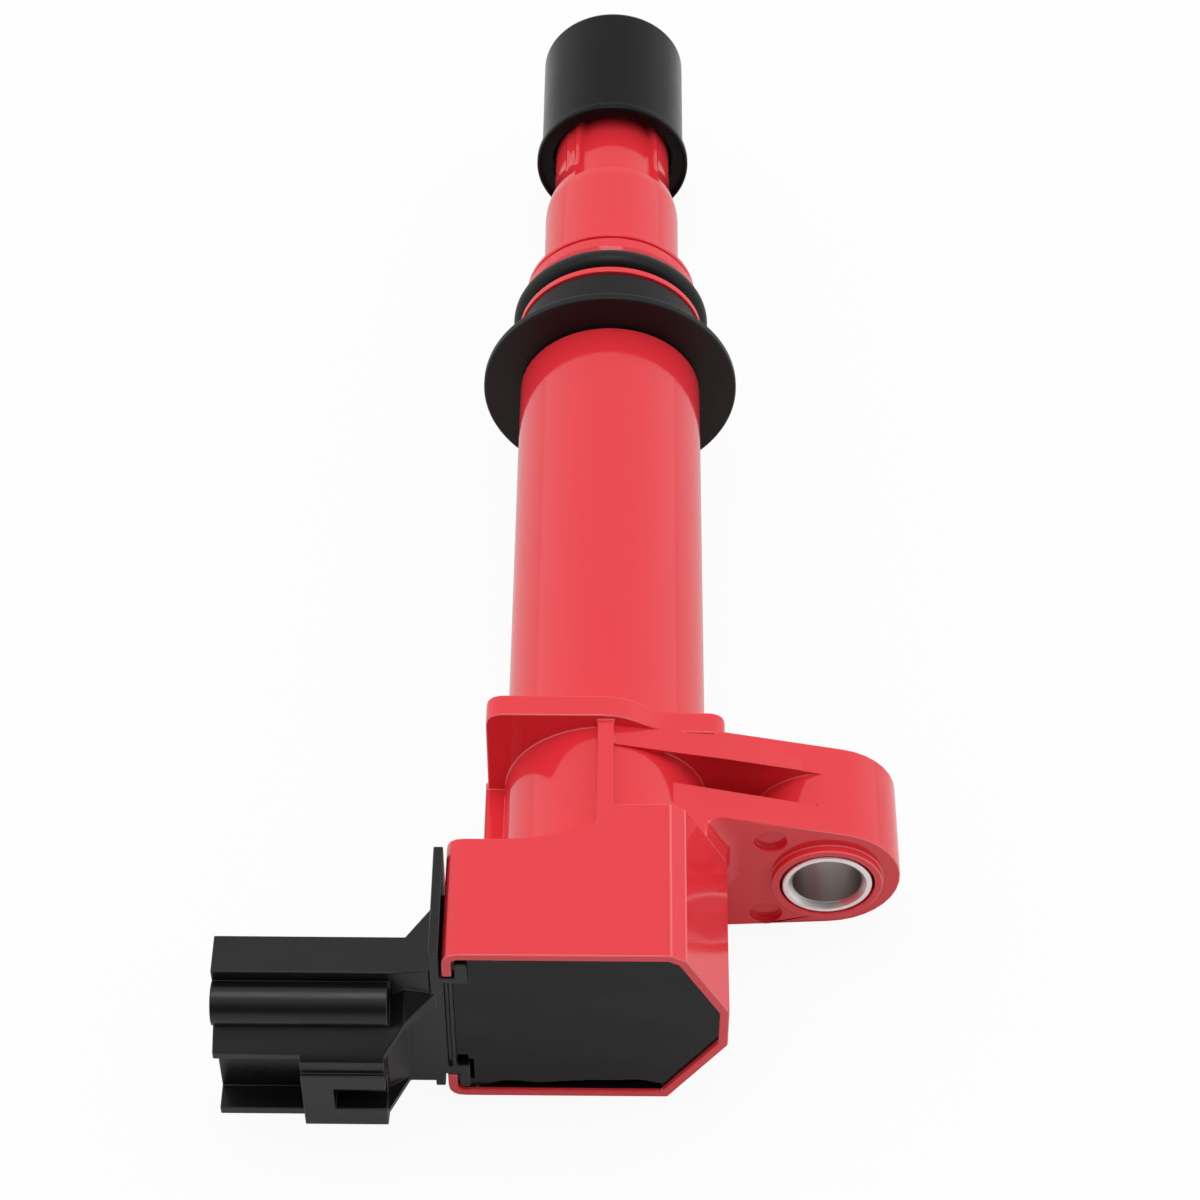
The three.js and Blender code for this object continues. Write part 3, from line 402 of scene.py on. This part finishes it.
def wall_normal(face, corner, walls, rounds):
    """Which way a wall of a moulding faces at one of its corners, smooth over walls that meet gently."""
    along_y = abs(face.normal.y) < 0.02
    if along_y:
        for x, z, radius in rounds:
            centre = place(x, 0, z)
            apart = [math.hypot(v.co.x - centre.x, v.co.z - centre.z) / MM - radius for v in face.verts]
            if max(apart) - min(apart) < ROUND_SPREAD and abs(apart[0]) < ON_ROUND:
                out = Vector((corner.co.x - centre.x, 0, corner.co.z - centre.z)).normalized()
                return out if out.dot(face.normal) > 0 else -out
    total = Vector()
    for loop in corner.link_loops:
        if loop.face in walls and loop.face.normal.angle(face.normal, 0) < math.radians(SHARP_ANGLE):
            total += loop.face.normal * loop.calc_angle()
    return total.normalized() if total.length > 0 else face.normal


def mark_painted_edge_highlight(shape, strips):
    """Marks the middle of each rounded outer edge, where a paler tone is painted as a highlight of the light
    the edge catches.
    """
    painted_edge_highlight = shape.verts.layers.float.new("painted_edge_highlight")
    for corner in shape.verts:
        if all(face in strips for face in corner.link_faces):
            beside = [edge.other_vert(corner).co for edge in corner.link_edges]
            rise = sum((point - corner.co).dot(corner.normal) for point in beside)
            corner[painted_edge_highlight] = 1.0 if rise < 0 else 0.0


def moulding(node, name, slot, material, width_mm, segments, rounds=(), changes=(None, None, None)):
    """A CAD node's own shape with its sharp edges rounded, and its flat and round walls shaded exactly.
    Rounds are the (x, z, radius) of walls that are round about an axis along Y. The three changes are made
    before the flat walls are joined, before the edges are rounded, and after."""
    adapt, level, add = changes
    shape = bmesh.new()
    shape.from_mesh(frame["nodes"][node].data)
    bmesh.ops.remove_doubles(shape, verts=shape.verts, dist=MERGED * MM)
    if adapt:
        adapt(shape)
        bmesh.ops.recalc_face_normals(shape, faces=shape.faces)
    bmesh.ops.dissolve_limit(
        shape, angle_limit=math.radians(FLAT_ANGLE), verts=shape.verts, edges=shape.edges)
    if level:
        level(shape)
    shape.normal_update()
    sharp = [edge for edge in shape.edges if edge.calc_face_angle(0) > math.radians(BEVEL_ANGLE)]
    bevelled = bmesh.ops.bevel(
        shape, geom=sharp, offset=width_mm * MM, offset_type="OFFSET", segments=segments, profile=0.5,
        affect="EDGES", clamp_overlap=False, loop_slide=False)
    shape.normal_update()
    strips = set(bevelled["faces"])
    # Where the painted highlight on the rounded outer edges goes
    mark_painted_edge_highlight(shape, strips)
    if add:
        add(shape)
        shape.normal_update()
    walls = set(shape.faces) - strips
    normals = []
    for face in shape.faces:
        face.smooth = True
        for corner in face.verts:
            if face in walls:
                normals.append(wall_normal(face, corner, walls, rounds))
                continue
            near = [other for other in corner.link_faces if other in walls]
            if near:
                nearest = max(near, key=lambda other: other.normal.dot(face.normal))
                normals.append(wall_normal(nearest, corner, walls, rounds))
            else:
                total = sum((other.normal for other in corner.link_faces), Vector())
                normals.append(total.normalized())
    mesh = bpy.data.meshes.new(name)
    shape.to_mesh(mesh)
    shape.free()
    mesh.normals_split_custom_set(normals)
    return new_piece(name, mesh, "coil_body", slot, material, node)


def dress(node, material, edge_mm=0):
    """Gives a CAD node that keeps its shape its material, and rounds its edges if a width is given."""
    piece = frame["nodes"][node]
    piece.data.materials.clear()
    piece.data.materials.append(material)
    if edge_mm:
        round_edges(piece, edge_mm)


# Housing

# Everything of the ear lies to the right of EAR_START, and its dimples to the right of DIMPLES_START
EAR_START = 6
DIMPLES_START = 15
EAR_FRONT_FILLET = -11.8
FILLET_SUNK = 0.04
HEAD_BACK = -13.1
HEAD_TOP = 14.1
RIB_TOP = 13.4
RIB_HALF_WIDTH = 0.95
DIMPLE_FLOOR = -9.6
DIMPLE_SUNK = 0.35
# The top of the ear's back wall, from the rib to the round end:
# X, the near edge's Y and Z, the far edge's Z and the Y to which the wall falls back below
EAR_RAIL = (
    (0.5, -2.72, 12.32, 12.44, -2.6), (9.5, -3.19, 11.0, 11.0, -1.7),
    (14.1, -3.43, 10.4, 10.75, -1.15), (24, -1.05, 5.2, 5.2, -1.05),
)
EAR_RAIL_FAR = 0.3
# X, Z and radius of the tube and of the ear's round end
HOUSING_ROUNDS = (0, 0, 12), (26.4, -4, 8.7)
EAR_RAIL_DEPTH = 1.6


def adapt_housing(shape):
    """Carries the ear's fillet on to the head and sinks its dimples."""
    for corner in shape.verts:
        x, y, z = (corner.co - ORIGIN) / MM
        if abs(y - EAR_FRONT_FILLET) < 2.5 * SAME and x > EAR_START:
            inwards = 1 - FILLET_SUNK / math.hypot(x, z)
            corner.co = place(x * inwards, HEAD_BACK, z * inwards)
        elif abs(y - DIMPLE_FLOOR) < SAME and x > DIMPLES_START:
            corner.co = place(x, y + DIMPLE_SUNK, z)


def raise_rib(shape):
    """Levels the rib with the head's top, at the head's end of it."""
    foot = []
    for corner in shape.verts:
        x, y, z = (corner.co - ORIGIN) / MM
        if abs(abs(x) - RIB_HALF_WIDTH) < SAME and y < HEAD_BACK / 2 and z > RIB_TOP - SAME:
            corner.co = place(x, y, HEAD_TOP)
            foot.append(corner)
    bmesh.ops.remove_doubles(shape, verts=foot, dist=MERGED * MM)


def add_rail(shape):
    """Lays a flat rail along the top of the ear's back wall."""
    rings = []
    for x, near, near_top, far_top, below in EAR_RAIL:
        rings.append([
            place(x, near, near_top), place(x, EAR_RAIL_FAR, far_top),
            place(x, EAR_RAIL_FAR, far_top - EAR_RAIL_DEPTH),
            place(x, below, near_top - EAR_RAIL_DEPTH),
        ])
    before = set(shape.faces)
    skin(shape, rings, closed=False)
    bmesh.ops.recalc_face_normals(shape, faces=list(set(shape.faces) - before))


# Turned pieces

BOOT_LIP_PROUD = 0.7
BOOT_LIP_LENGTH = 1.3
BOOT_LIP_WALL = 0.6
BOOT_MOUTH_DEPTH = 0.7
BOOT_GROOVE = 0.25
BOOT_GRIP = 8.55
BOOT_PLUG_BORE = 5.3
BOOT_SEAT = 12


def plug_boot(material):
    """Moulded rubber boot: a plain sleeve with a soft lip at its mouth and a groove behind the lip."""
    low, high = reach("plug_boot")
    mouth, end, lip = low.y, high.y, high.x
    body = lip - BOOT_LIP_PROUD
    lip_end = mouth + BOOT_LIP_LENGTH
    inside = lip - BOOT_LIP_WALL
    profile = [
        (inside, mouth, 0.22), (lip, mouth, 0.35), (lip, lip_end, 0.35),
        (body - BOOT_GROOVE, lip_end + 0.05, 0.08), (body - BOOT_GROOVE, lip_end + BOOT_GROOVE, 0.05),
        (body, lip_end + 2 * BOOT_GROOVE, 0.2), (body, end, 0.9),
        (BOOT_PLUG_BORE + 1, end, 0.3), (BOOT_PLUG_BORE, end - 1, 0.3),
        (BOOT_PLUG_BORE, end - BOOT_SEAT, 0.2), (BOOT_GRIP, end - BOOT_SEAT, 0.2),
        (BOOT_GRIP, mouth + BOOT_MOUTH_DEPTH, 0.15), (inside, mouth + BOOT_MOUTH_DEPTH, 0.15),
    ]
    mesh = turned("boot_moulding", profile)
    new_piece("boot_moulding", mesh, "boot", "boot_rubber", material, "plug_boot")


SEAL_FLANGE = 1.4
SEAL_SLEEVE = 12.3
SEAL_SLEEVE_WALL = 0.7
SEAL_FILLET = 0.6


def flange_seal(material):
    """Moulded rubber seal: a sleeve with a wide thin flange, and a round in the corner between them."""
    low, high = reach("flange_seal")
    near, far, rim = low.y, high.y, high.x
    tube_end = reach("housing")[1].y
    inner = SEAL_SLEEVE - SEAL_SLEEVE_WALL
    profile = [
        (inner, near, 0.1), (rim, near, 0.3), (rim, near + SEAL_FLANGE, 0.5),
        (SEAL_SLEEVE, near + SEAL_FLANGE, SEAL_FILLET), (SEAL_SLEEVE, min(far, tube_end), 0.2),
        (inner, far, 0.1),
    ]
    mesh = turned("seal_moulding", profile)
    new_piece("seal_moulding", mesh, "coil_body", "seal_rubber", material, "flange_seal")


O_RING_SIDES = 24


def o_ring(material):
    """Moulded rubber ring with a round section."""
    low, high = reach("o_ring")
    section = (high.y - low.y) / 2
    middle = (high.y + low.y) / 2
    radius = high.x - section
    profile = []
    for i in range(O_RING_SIDES):
        turn = 2 * math.pi * i / O_RING_SIDES
        profile.append((radius + section * math.cos(turn), middle + section * math.sin(turn), 0))
    mesh = turned("o_ring_round", profile)
    new_piece("o_ring_round", mesh, "coil_body", "seal_rubber", material, "o_ring")


LIMITER_WALL = 1.25
LIMITER_CHAMFER = 0.6


def compression_limiter(material):
    """Turned steel tube with a chamfered bore."""
    low, high = reach("compression_limiter")
    centre = ((low.x + high.x) / 2, (low.z + high.z) / 2)
    radius = (high.x - low.x) / 2
    bore = radius - LIMITER_WALL
    wide = bore + LIMITER_CHAMFER
    profile = [
        (wide, low.y, 0.08), (radius, low.y, 0.2), (radius, high.y, 0.2), (wide, high.y, 0.08),
        (bore, high.y - LIMITER_CHAMFER, 0.15), (bore, low.y + LIMITER_CHAMFER, 0.15),
    ]
    mesh = turned("limiter_tube", profile, centre)
    new_piece("limiter_tube", mesh, "coil_body", "limiter_steel", material, "compression_limiter")


CAP_CENTRE = 0.01
CAP_PILOT_RADIUS = 2.4
CAP_PILOT_LENGTH = 3.5


def contact_cap(material):
    """Turned cap with a domed face and a pilot inside the spring."""
    low, high = reach("contact_cap")
    radius = high.x
    shoulder = low.y + CAP_PILOT_LENGTH
    profile = [
        (CAP_CENTRE, low.y, 0), (CAP_PILOT_RADIUS, low.y, 0.3), (CAP_PILOT_RADIUS, shoulder, 0.1),
        (radius, shoulder, 0.2), (radius, high.y, 0.95), (CAP_CENTRE, high.y, 0),
    ]
    mesh = turned("contact_cap_turned", profile)
    new_piece("contact_cap_turned", mesh, "contact", "terminal_brass", material, "contact_cap")


SPRING_TURNS = 10
SPRING_STEPS_PER_TURN = 40
SPRING_SIDES = 12
SPRING_WIRE = 0.4


def contact_spring(material):
    """Drawn wire wound into a spring that climbs evenly from the resistor to the cap."""
    low, high = reach("contact_spring")
    start, end = low.y + SPRING_WIRE, high.y - SPRING_WIRE
    radius = high.x - SPRING_WIRE
    slope = math.atan2((end - start) / SPRING_TURNS, 2 * math.pi * radius)
    rings = []
    for i in range(SPRING_TURNS * SPRING_STEPS_PER_TURN + 1):
        turn = 2 * math.pi * i / SPRING_STEPS_PER_TURN
        share = i / (SPRING_TURNS * SPRING_STEPS_PER_TURN)
        out = Vector((math.sin(turn), 0, math.cos(turn)))
        flat = math.cos(slope)
        along = Vector((flat * math.cos(turn), math.sin(slope), -flat * math.sin(turn)))
        side = out.cross(along)
        middle = out * radius + Vector((0, start + (end - start) * share, 0))
        ring = []
        for k in range(SPRING_SIDES):
            around = 2 * math.pi * k / SPRING_SIDES
            reached = (out * math.cos(around) + side * math.sin(around)) * SPRING_WIRE
            ring.append(place(*(middle + reached)))
        rings.append(ring)
    mesh = ring_mesh("spring_wound", rings, closed=False)
    piece = new_piece("spring_wound", mesh, "coil_body", "spring_steel", material, "contact_spring")
    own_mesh(piece)


# High-voltage tower, from the rings at the tube's end to the nose in the boot

RING_RADIUS = 12.5
RING_WIDTH = 1
GROOVE_FLOOR = 9.7
GROOVE_WIDTH = 3.6
NEAR_RING_FOOT = 10.9
DOUBLE_RING_RADIUS = 11.7
NEAR_RING_SLOPE = 1.3
NEAR_RING_WIDTH = 2.9
RING_GAP = 0.6
RING_GAP_DEPTH = 0.65
FAR_RING_WIDTH = 0.85
COLLAR_RADIUS = 9.3
COLLAR_LENGTH = 14.3
SHOULDER_LENGTH = 7.1
NOSE_RADIUS = 8.1
NOSE_LENGTH = 15.6
FLUTE_FLOOR = 7.2
FLUTE_REACH = 5.3
FLUTE_FROM, FLUTE_TO = -35.5, 47.5
RIB_ANGLES = (-53.5, -48.5), (-40.5, -35.5), (47.5, 52.5)
RIB_RADIUS = 8.25
SPIGOT_RADIUS = 10.2
CUP_RADIUS = 7.7
TOWER_BORE = 4.3
WALL_ROUND = 0.28
# Steps of the turned shape: along the shoulder and the nose, and round it in degrees
SHOULDER_STEP = 0.35
NOSE_STEP = 1.2
COARSE_TURN = 3
FINE_TURN = 0.7


def share_inside(angle, start, end):
    """How far inside a sector an angle is, in degrees, eased over the round of its walls."""
    inside = math.radians(min(angle - start, end - angle)) * NOSE_RADIUS
    return 0 if inside <= 0 else 1 - math.exp(-((inside / WALL_ROUND) ** 2))


def hv_tower(material):
    """Moulded tower: ring, groove for the O-ring, double ring, collar, and a nose with two flutes
    and their ribs."""
    start = reach("hv_tower")[0].y
    nose_end = reach("hv_tower")[1].y
    nose_start = nose_end - NOSE_LENGTH
    shoulder_start = nose_start - SHOULDER_LENGTH
    collar_start = shoulder_start - COLLAR_LENGTH
    far_start = collar_start - FAR_RING_WIDTH
    near_end = far_start - RING_GAP
    near_start = near_end - NEAR_RING_WIDTH
    groove_start = near_start - GROOVE_WIDTH
    ring_start = groove_start - RING_WIDTH
    flute_start = nose_start - FLUTE_REACH

    def shoulder(y):
        share = min(1, max(0, (y - shoulder_start) / SHOULDER_LENGTH))
        return NOSE_RADIUS + (COLLAR_RADIUS - NOSE_RADIUS) * (1 + math.cos(share * math.pi)) / 2

    flute_drop = shoulder(flute_start) - FLUTE_FLOOR

    def carve(angle, radius, y):
        if y < flute_start or radius < FLUTE_FLOOR:
            return radius
        into = min(flute_drop, y - flute_start)
        floor = FLUTE_FLOOR + flute_drop - math.sqrt(into * (2 * flute_drop - into))
        degrees = (math.degrees(angle) + 90) % 180 - 90
        if degrees < RIB_ANGLES[0][0] - 5:
            degrees += 180
        cut = share_inside(degrees, FLUTE_FROM, FLUTE_TO)
        low = min(radius, floor)
        proud = 0
        for rib_from, rib_to in RIB_ANGLES:
            proud = max(proud, share_inside(degrees, rib_from - FINE_TURN, rib_to + FINE_TURN))
        raised = radius + max(0, RIB_RADIUS - radius) * proud * (radius >= NOSE_RADIUS - 0.01)
        return raised + (low - raised) * cut

    outer = [
        (SPIGOT_RADIUS, start, 0.3), (SPIGOT_RADIUS, ring_start, 0),
        (RING_RADIUS, ring_start, 0.12), (RING_RADIUS, groove_start, 0.2),
        (GROOVE_FLOOR, groove_start, 0.2), (GROOVE_FLOOR, near_start, 0.2),
        (NEAR_RING_FOOT, near_start, 0.1), (DOUBLE_RING_RADIUS, near_start + NEAR_RING_SLOPE, 0.25),
        (DOUBLE_RING_RADIUS, near_end, 0.12), (DOUBLE_RING_RADIUS - RING_GAP_DEPTH, near_end, 0.1),
        (DOUBLE_RING_RADIUS - RING_GAP_DEPTH, far_start, 0.1), (DOUBLE_RING_RADIUS - 0.15, far_start, 0.12),
        (DOUBLE_RING_RADIUS - 0.15, collar_start, 0.3), (COLLAR_RADIUS, collar_start, 0.4),
    ]
    y = shoulder_start
    while y < nose_start:
        outer.append((shoulder(y), y, 0))
        y += SHOULDER_STEP
    while y < nose_end - NOSE_STEP:
        outer.append((NOSE_RADIUS, y, 0))
        y += NOSE_STEP
    outer += [
        (NOSE_RADIUS, nose_end, 0.4), (TOWER_BORE, nose_end, 0.2),
        (TOWER_BORE, near_start - 2, 0.2), (CUP_RADIUS, near_start - 2, 0.2), (CUP_RADIUS, start, 0.3),
    ]
    walls = [FLUTE_FROM, FLUTE_TO] + [wall for rib in RIB_ANGLES for wall in rib]
    degrees = {float(d) for d in range(0, 360, COARSE_TURN)}
    for turn in (0, 180):
        for wall in walls:
            degrees |= {round((turn + wall + FINE_TURN * step) % 360, 2) for step in range(-6, 7)}
    angles = [math.radians(d) for d in sorted(degrees)]
    mesh = turned("tower_moulding", outer, angles=angles, carve=carve)
    new_piece("tower_moulding", mesh, "coil_body", "red_polyester", material, "hv_tower")


# Potting, from the head's inner wall to a wavy open face

HEAD_WALL_GAP = 0.3
HEAD_FACE = 34.2
HEAD_CHAMFER_TOP = 7.5
HEAD_CHAMFER_HALF_HEIGHT = 3.3
HEAD_FACET_WIDTH = 1.7
HEAD_FACET_DROP = 1
HEAD_CORNER = 0.9
HEAD_WALL_SHARE = 0.6
RESIN_RECESS = 0.6
RESIN_GRID = 0.5
RESIN_PIT_DEPTH = 2
RESIN_FILM = 0.45
RESIN_FILM_WIDTH = 0.14
PIT_WALL = 0.2
LIP_STEP = 0.15
LIP_STEPS = 15
# Room between the resin's lower edge and the wall, at places along X
LOWER_LIP = (
    (-17, 0), (-15.2, 0), (-13.9, 0.25), (-10.6, 1.15), (-7.35, 0.67), (-3.9, 1.14), (-0.4, 1.43),
    (4.3, 1.48), (6.1, 0.9), (6.9, 0), (20, 0),
)
# Pits that the poured resin left round the connector's hooks, as X and Z ranges
PITS = (-17, -15.6, 12.4, 15), (-15.35, -14.85, -11.3, -7.3), (-16.7, -15.5, -8, -6.4)


def eased(share):
    """A share from 0 to 1 that starts and ends slowly."""
    share = min(1, max(0, share))
    return share * share * (3 - 2 * share)


def lower_lip(x):
    """Room between the resin's lower edge and the wall, at a place along X."""
    for (x0, room0), (x1, room1) in zip(LOWER_LIP, LOWER_LIP[1:]):
        if x0 <= x <= x1:
            return room0 + (room1 - room0) * eased((x - x0) / (x1 - x0))
    return 0


def resin_depth(x, z, low_z):
    """How far the resin's surface lies behind the head's rim."""
    slow_wave = 0.05 * math.sin(0.31 * x + 0.4) * math.cos(0.23 * z)
    depth = RESIN_RECESS + (slow_wave + 0.03 * math.sin(0.62 * z + 0.2 * x))
    lip = low_z + lower_lip(x)
    depth += RESIN_PIT_DEPTH * eased((lip - z) / 0.45 + 0.2) * (lower_lip(x) > 0.1)
    for x0, x1, z0, z1 in PITS:
        inside = min(x - x0, x1 - x, z - z0, z1 - z)
        depth = max(depth, RESIN_PIT_DEPTH * eased(inside / PIT_WALL) + RESIN_RECESS)
    return depth


def potting_fill(material):
    """Resin poured into the head and cured, with slow waves, a lip above the lower wall, a film left
    on that wall and pits by the hooks."""
    low, high = reach("potting")
    left, right = low.x - HEAD_WALL_GAP, high.x + HEAD_WALL_GAP
    half = high.z + HEAD_WALL_GAP
    facet = HEAD_CHAMFER_TOP + HEAD_FACET_WIDTH - HEAD_WALL_SHARE
    outline = rounded([
        (left, -half, HEAD_CORNER), (HEAD_CHAMFER_TOP - HEAD_WALL_SHARE, -half, 0),
        (right, -HEAD_CHAMFER_HALF_HEIGHT + 0.4, 0), (right, HEAD_CHAMFER_HALF_HEIGHT - 0.4, 0),
        (facet, half - HEAD_FACET_DROP, 0), (HEAD_CHAMFER_TOP - HEAD_WALL_SHARE + 0.3, half, 0),
        (left, half, HEAD_CORNER),
    ])
    shape = bmesh.new()
    front = [shape.verts.new(place(x, -HEAD_FACE, z)) for x, z in outline]
    back = [shape.verts.new(place(x, high.y, z)) for x, z in outline]
    open_face = shape.faces.new(front)
    shape.faces.new(back)
    for i, corner in enumerate(front):
        after = (i + 1) % len(front)
        shape.faces.new((corner, front[after], back[after], back[i]))
    bmesh.ops.inset_region(shape, faces=[open_face], thickness=RESIN_FILM_WIDTH * MM)
    front_y = place(0, -HEAD_FACE, 0).y
    cuts = set()
    x = left + RESIN_GRID
    while x < right:
        cuts.add((round(x, 3), 0))
        x += RESIN_GRID
    z = -half + RESIN_GRID
    while z < half:
        cuts.add((round(z, 3), 1))
        z += RESIN_GRID
    for x0, x1, z0, z1 in PITS:
        for edge, side in ((x0, 0), (x1, 0), (z0, 1), (z1, 1)):
            cuts |= {(edge + offset, side) for offset in (-PIT_WALL, 0, PIT_WALL)}
    cuts |= {(-half + LIP_STEP * step, 1) for step in range(1, LIP_STEPS)}
    for at, side in sorted(cuts):
        faces = [f for f in shape.faces if all(abs(v.co.y - front_y) < SAME * MM for v in f.verts)]
        edges = {e for f in faces for e in f.edges}
        corners = {v for f in faces for v in f.verts}
        where = place(at, 0, 0) if side == 0 else place(0, 0, at)
        direction = (1, 0, 0) if side == 0 else (0, 0, 1)
        bmesh.ops.bisect_plane(
            shape, geom=[*corners, *edges, *faces], plane_co=where, plane_no=direction)
    for corner in shape.verts:
        if abs(corner.co.y - front_y) < SAME * MM:
            x, _, z = (corner.co - ORIGIN) / MM
            on_lower_wall = z < 0.05 - half
            corner.co.y += (RESIN_FILM if on_lower_wall else resin_depth(x, z, -half)) * MM
    mesh = finished_mesh(shape, "potting_fill")
    new_piece("potting_fill", mesh, "coil_body", "potting_resin", material, "potting")


# Studio

CAMERA_PLACE = 1.6, -237.6, 303.0
CAMERA_TILT = 41.5
CAMERA_TURN = 0.55
CAMERA_LENS = 96
CAMERA_SENSOR = 36
PAPER_HALF_WIDTH = 6
# Shares of plain white in the paper, for the camera and for mirrors and clear things
PAPER_SEEN_WHITE = 0.93
PAPER_MIRRORED_WHITE = 0.05
# The tent's light by direction: from the dark opening to full, and the extra at the sides
AWAY = 0, 0.985, 0.17
OPENING = -0.8, -0.24
OPENING_LIGHT = 0.07
TENT_LIGHT = 0.86
TENT_SIDES = 0.42
TENT_MIRRORED = 0.1


def camera():
    """Looks down on the coil from the connector end, with the tube running away from it."""
    data = bpy.data.cameras.new("camera")
    data.lens = CAMERA_LENS
    data.sensor_width = CAMERA_SENSOR
    data.clip_start, data.clip_end = 0.01, 20
    made = bpy.data.objects.new("camera", data)
    made.location = place(*CAMERA_PLACE)
    made.rotation_euler = (math.radians(CAMERA_TILT), 0, math.radians(CAMERA_TURN))
    bpy.context.scene.collection.objects.link(made)
    bpy.context.scene.camera = made


def floor():
    """Pale paper that keeps the object's shadow and shows nearly white."""
    mesh = bpy.data.meshes.new("floor")
    half = PAPER_HALF_WIDTH
    corners = [(-half, -half, 0), (half, -half, 0), (half, half, 0), (-half, half, 0)]
    mesh.from_pydata(corners, [], [(0, 1, 2, 3)])
    made = bpy.data.objects.new("floor", mesh)
    bpy.context.scene.collection.objects.link(made)
    material = bpy.data.materials.new("pale_paper")
    material.use_nodes = True
    tree = material.node_tree
    tree.nodes.remove(tree.nodes["Principled BSDF"])
    ray = add_node(tree, "LightPath", {})
    shiny = add_node(tree, "Math", {
        0: ray.outputs["Is Glossy Ray"], 1: ray.outputs["Is Transmission Ray"]}, operation="MAXIMUM")
    shiny_share = add_node(tree, "Math", {0: shiny, 1: PAPER_MIRRORED_WHITE}, operation="MULTIPLY")
    share = add_node(tree, "Math", {
        0: ray.outputs["Is Camera Ray"], 1: PAPER_SEEN_WHITE, 2: shiny_share}, operation="MULTIPLY_ADD")
    paper = add_node(tree, "BsdfDiffuse", {"Color": linear("#EBEBEB")})
    white = add_node(tree, "Emission", {"Color": (1, 1, 1, 1), "Strength": 1})
    mixed = add_node(tree, "MixShader", {"Fac": share, 1: paper, 2: white})
    fill_sockets(tree, tree.nodes["Material Output"], {"Surface": mixed})
    mesh.materials.append(material)


def world():
    """A white tent, open towards the viewer and paler at the sides. The camera sees plain white all round."""
    made = bpy.data.worlds.new("world")
    bpy.context.scene.world = made
    made.use_nodes = True
    tree = made.node_tree
    ray = add_node(tree, "LightPath", {})
    direction = add_node(tree, "TexCoord", {}).outputs["Generated"]
    away = add_node(tree, "VectorMath", {0: direction, 1: AWAY}, operation="DOT_PRODUCT").outputs["Value"]
    tent = add_node(tree, "MapRange", {
        "Value": away, "From Min": OPENING[0], "From Max": OPENING[1], "To Min": OPENING_LIGHT, "To Max": 1},
        interpolation_type="SMOOTHSTEP")
    across = add_node(tree, "SeparateXYZ", {"Vector": direction}).outputs["X"]
    squared = add_node(tree, "Math", {0: across, 1: across}, operation="MULTIPLY")
    sides = add_node(tree, "Math", {0: squared, 1: TENT_SIDES, 2: TENT_LIGHT}, operation="MULTIPLY_ADD")
    lit = add_node(tree, "Math", {0: tent, 1: sides}, operation="MULTIPLY")
    seen = add_node(tree, "Math", {
        0: ray.outputs["Is Camera Ray"], 1: ray.outputs["Is Transmission Ray"]}, operation="MAXIMUM")
    shiny = add_node(tree, "Math", {
        0: ray.outputs["Is Glossy Ray"], 1: TENT_MIRRORED, 2: seen}, operation="MULTIPLY_ADD")
    level = add_node(tree, "Math", {0: lit, 1: shiny}, operation="MAXIMUM")
    fill_sockets(tree, tree.nodes["Background"], {"Color": (1, 1, 1, 1), "Strength": level})


def soft_box(name, where, towards, size, watts):
    """A lamp of a size in metres that points from one place to another."""
    data = bpy.data.lights.new(name, "AREA")
    data.shape = "RECTANGLE"
    data.size, data.size_y = size
    data.energy = watts
    made = bpy.data.objects.new(name, data)
    made.location = where
    made.rotation_mode = "QUATERNION"
    made.rotation_quaternion = (Vector(towards) - Vector(where)).to_track_quat("-Z", "Y")
    bpy.context.scene.collection.objects.link(made)


def studio():
    """Camera, paper, tent and a soft lamp overhead."""
    bpy.context.scene.view_settings.view_transform = "Standard"
    camera()
    floor()
    world()
    soft_box("top_light", (0, 0, 0.75), (0, 0, 0.02), (0.34, 0.34), 1.2)


studio()

red = red_polyester()
brass = tinned_brass()
copper = enamelled_copper()
steel = core_steel()
rubber = seal_rubber()

moulding(
    "housing", "housing_moulding", "red_polyester", red, 0.18, 3, HOUSING_ROUNDS,
    (adapt_housing, raise_rib, add_rail))
moulding("connector_shell", "connector_moulding", "black_nylon", black_nylon(), 0.14, 3)
hv_tower(red)
compression_limiter(turned_steel())
plug_boot(boot_rubber())
flange_seal(rubber)
o_ring(rubber)
potting_fill(potting_resin())
contact_spring(spring_wire())
contact_cap(brass)

for node in ("terminal_power", "terminal_ground", "terminal_driver", "hv_terminal"):
    dress(node, brass, 0.08)
for node in ("power_lead", "driver_lead", "ground_lead", "hv_lead", "primary_winding", "secondary_winding"):
    dress(node, copper)
for node in ("core_pad_head_end", "core_pad_plug_end"):
    dress(node, rubber)
magnet = ferrite()
for node in ("magnet_head_end", "magnet_plug_end"):
    dress(node, magnet, 0.2)
for node in ("iron_core", "steel_shield"):
    dress(node, steel)
bobbin = bobbin_plastic()
for node in ("primary_bobbin", "secondary_bobbin"):
    dress(node, bobbin)
dress("suppressor_resistor", resistor_ceramic(), 0.15)
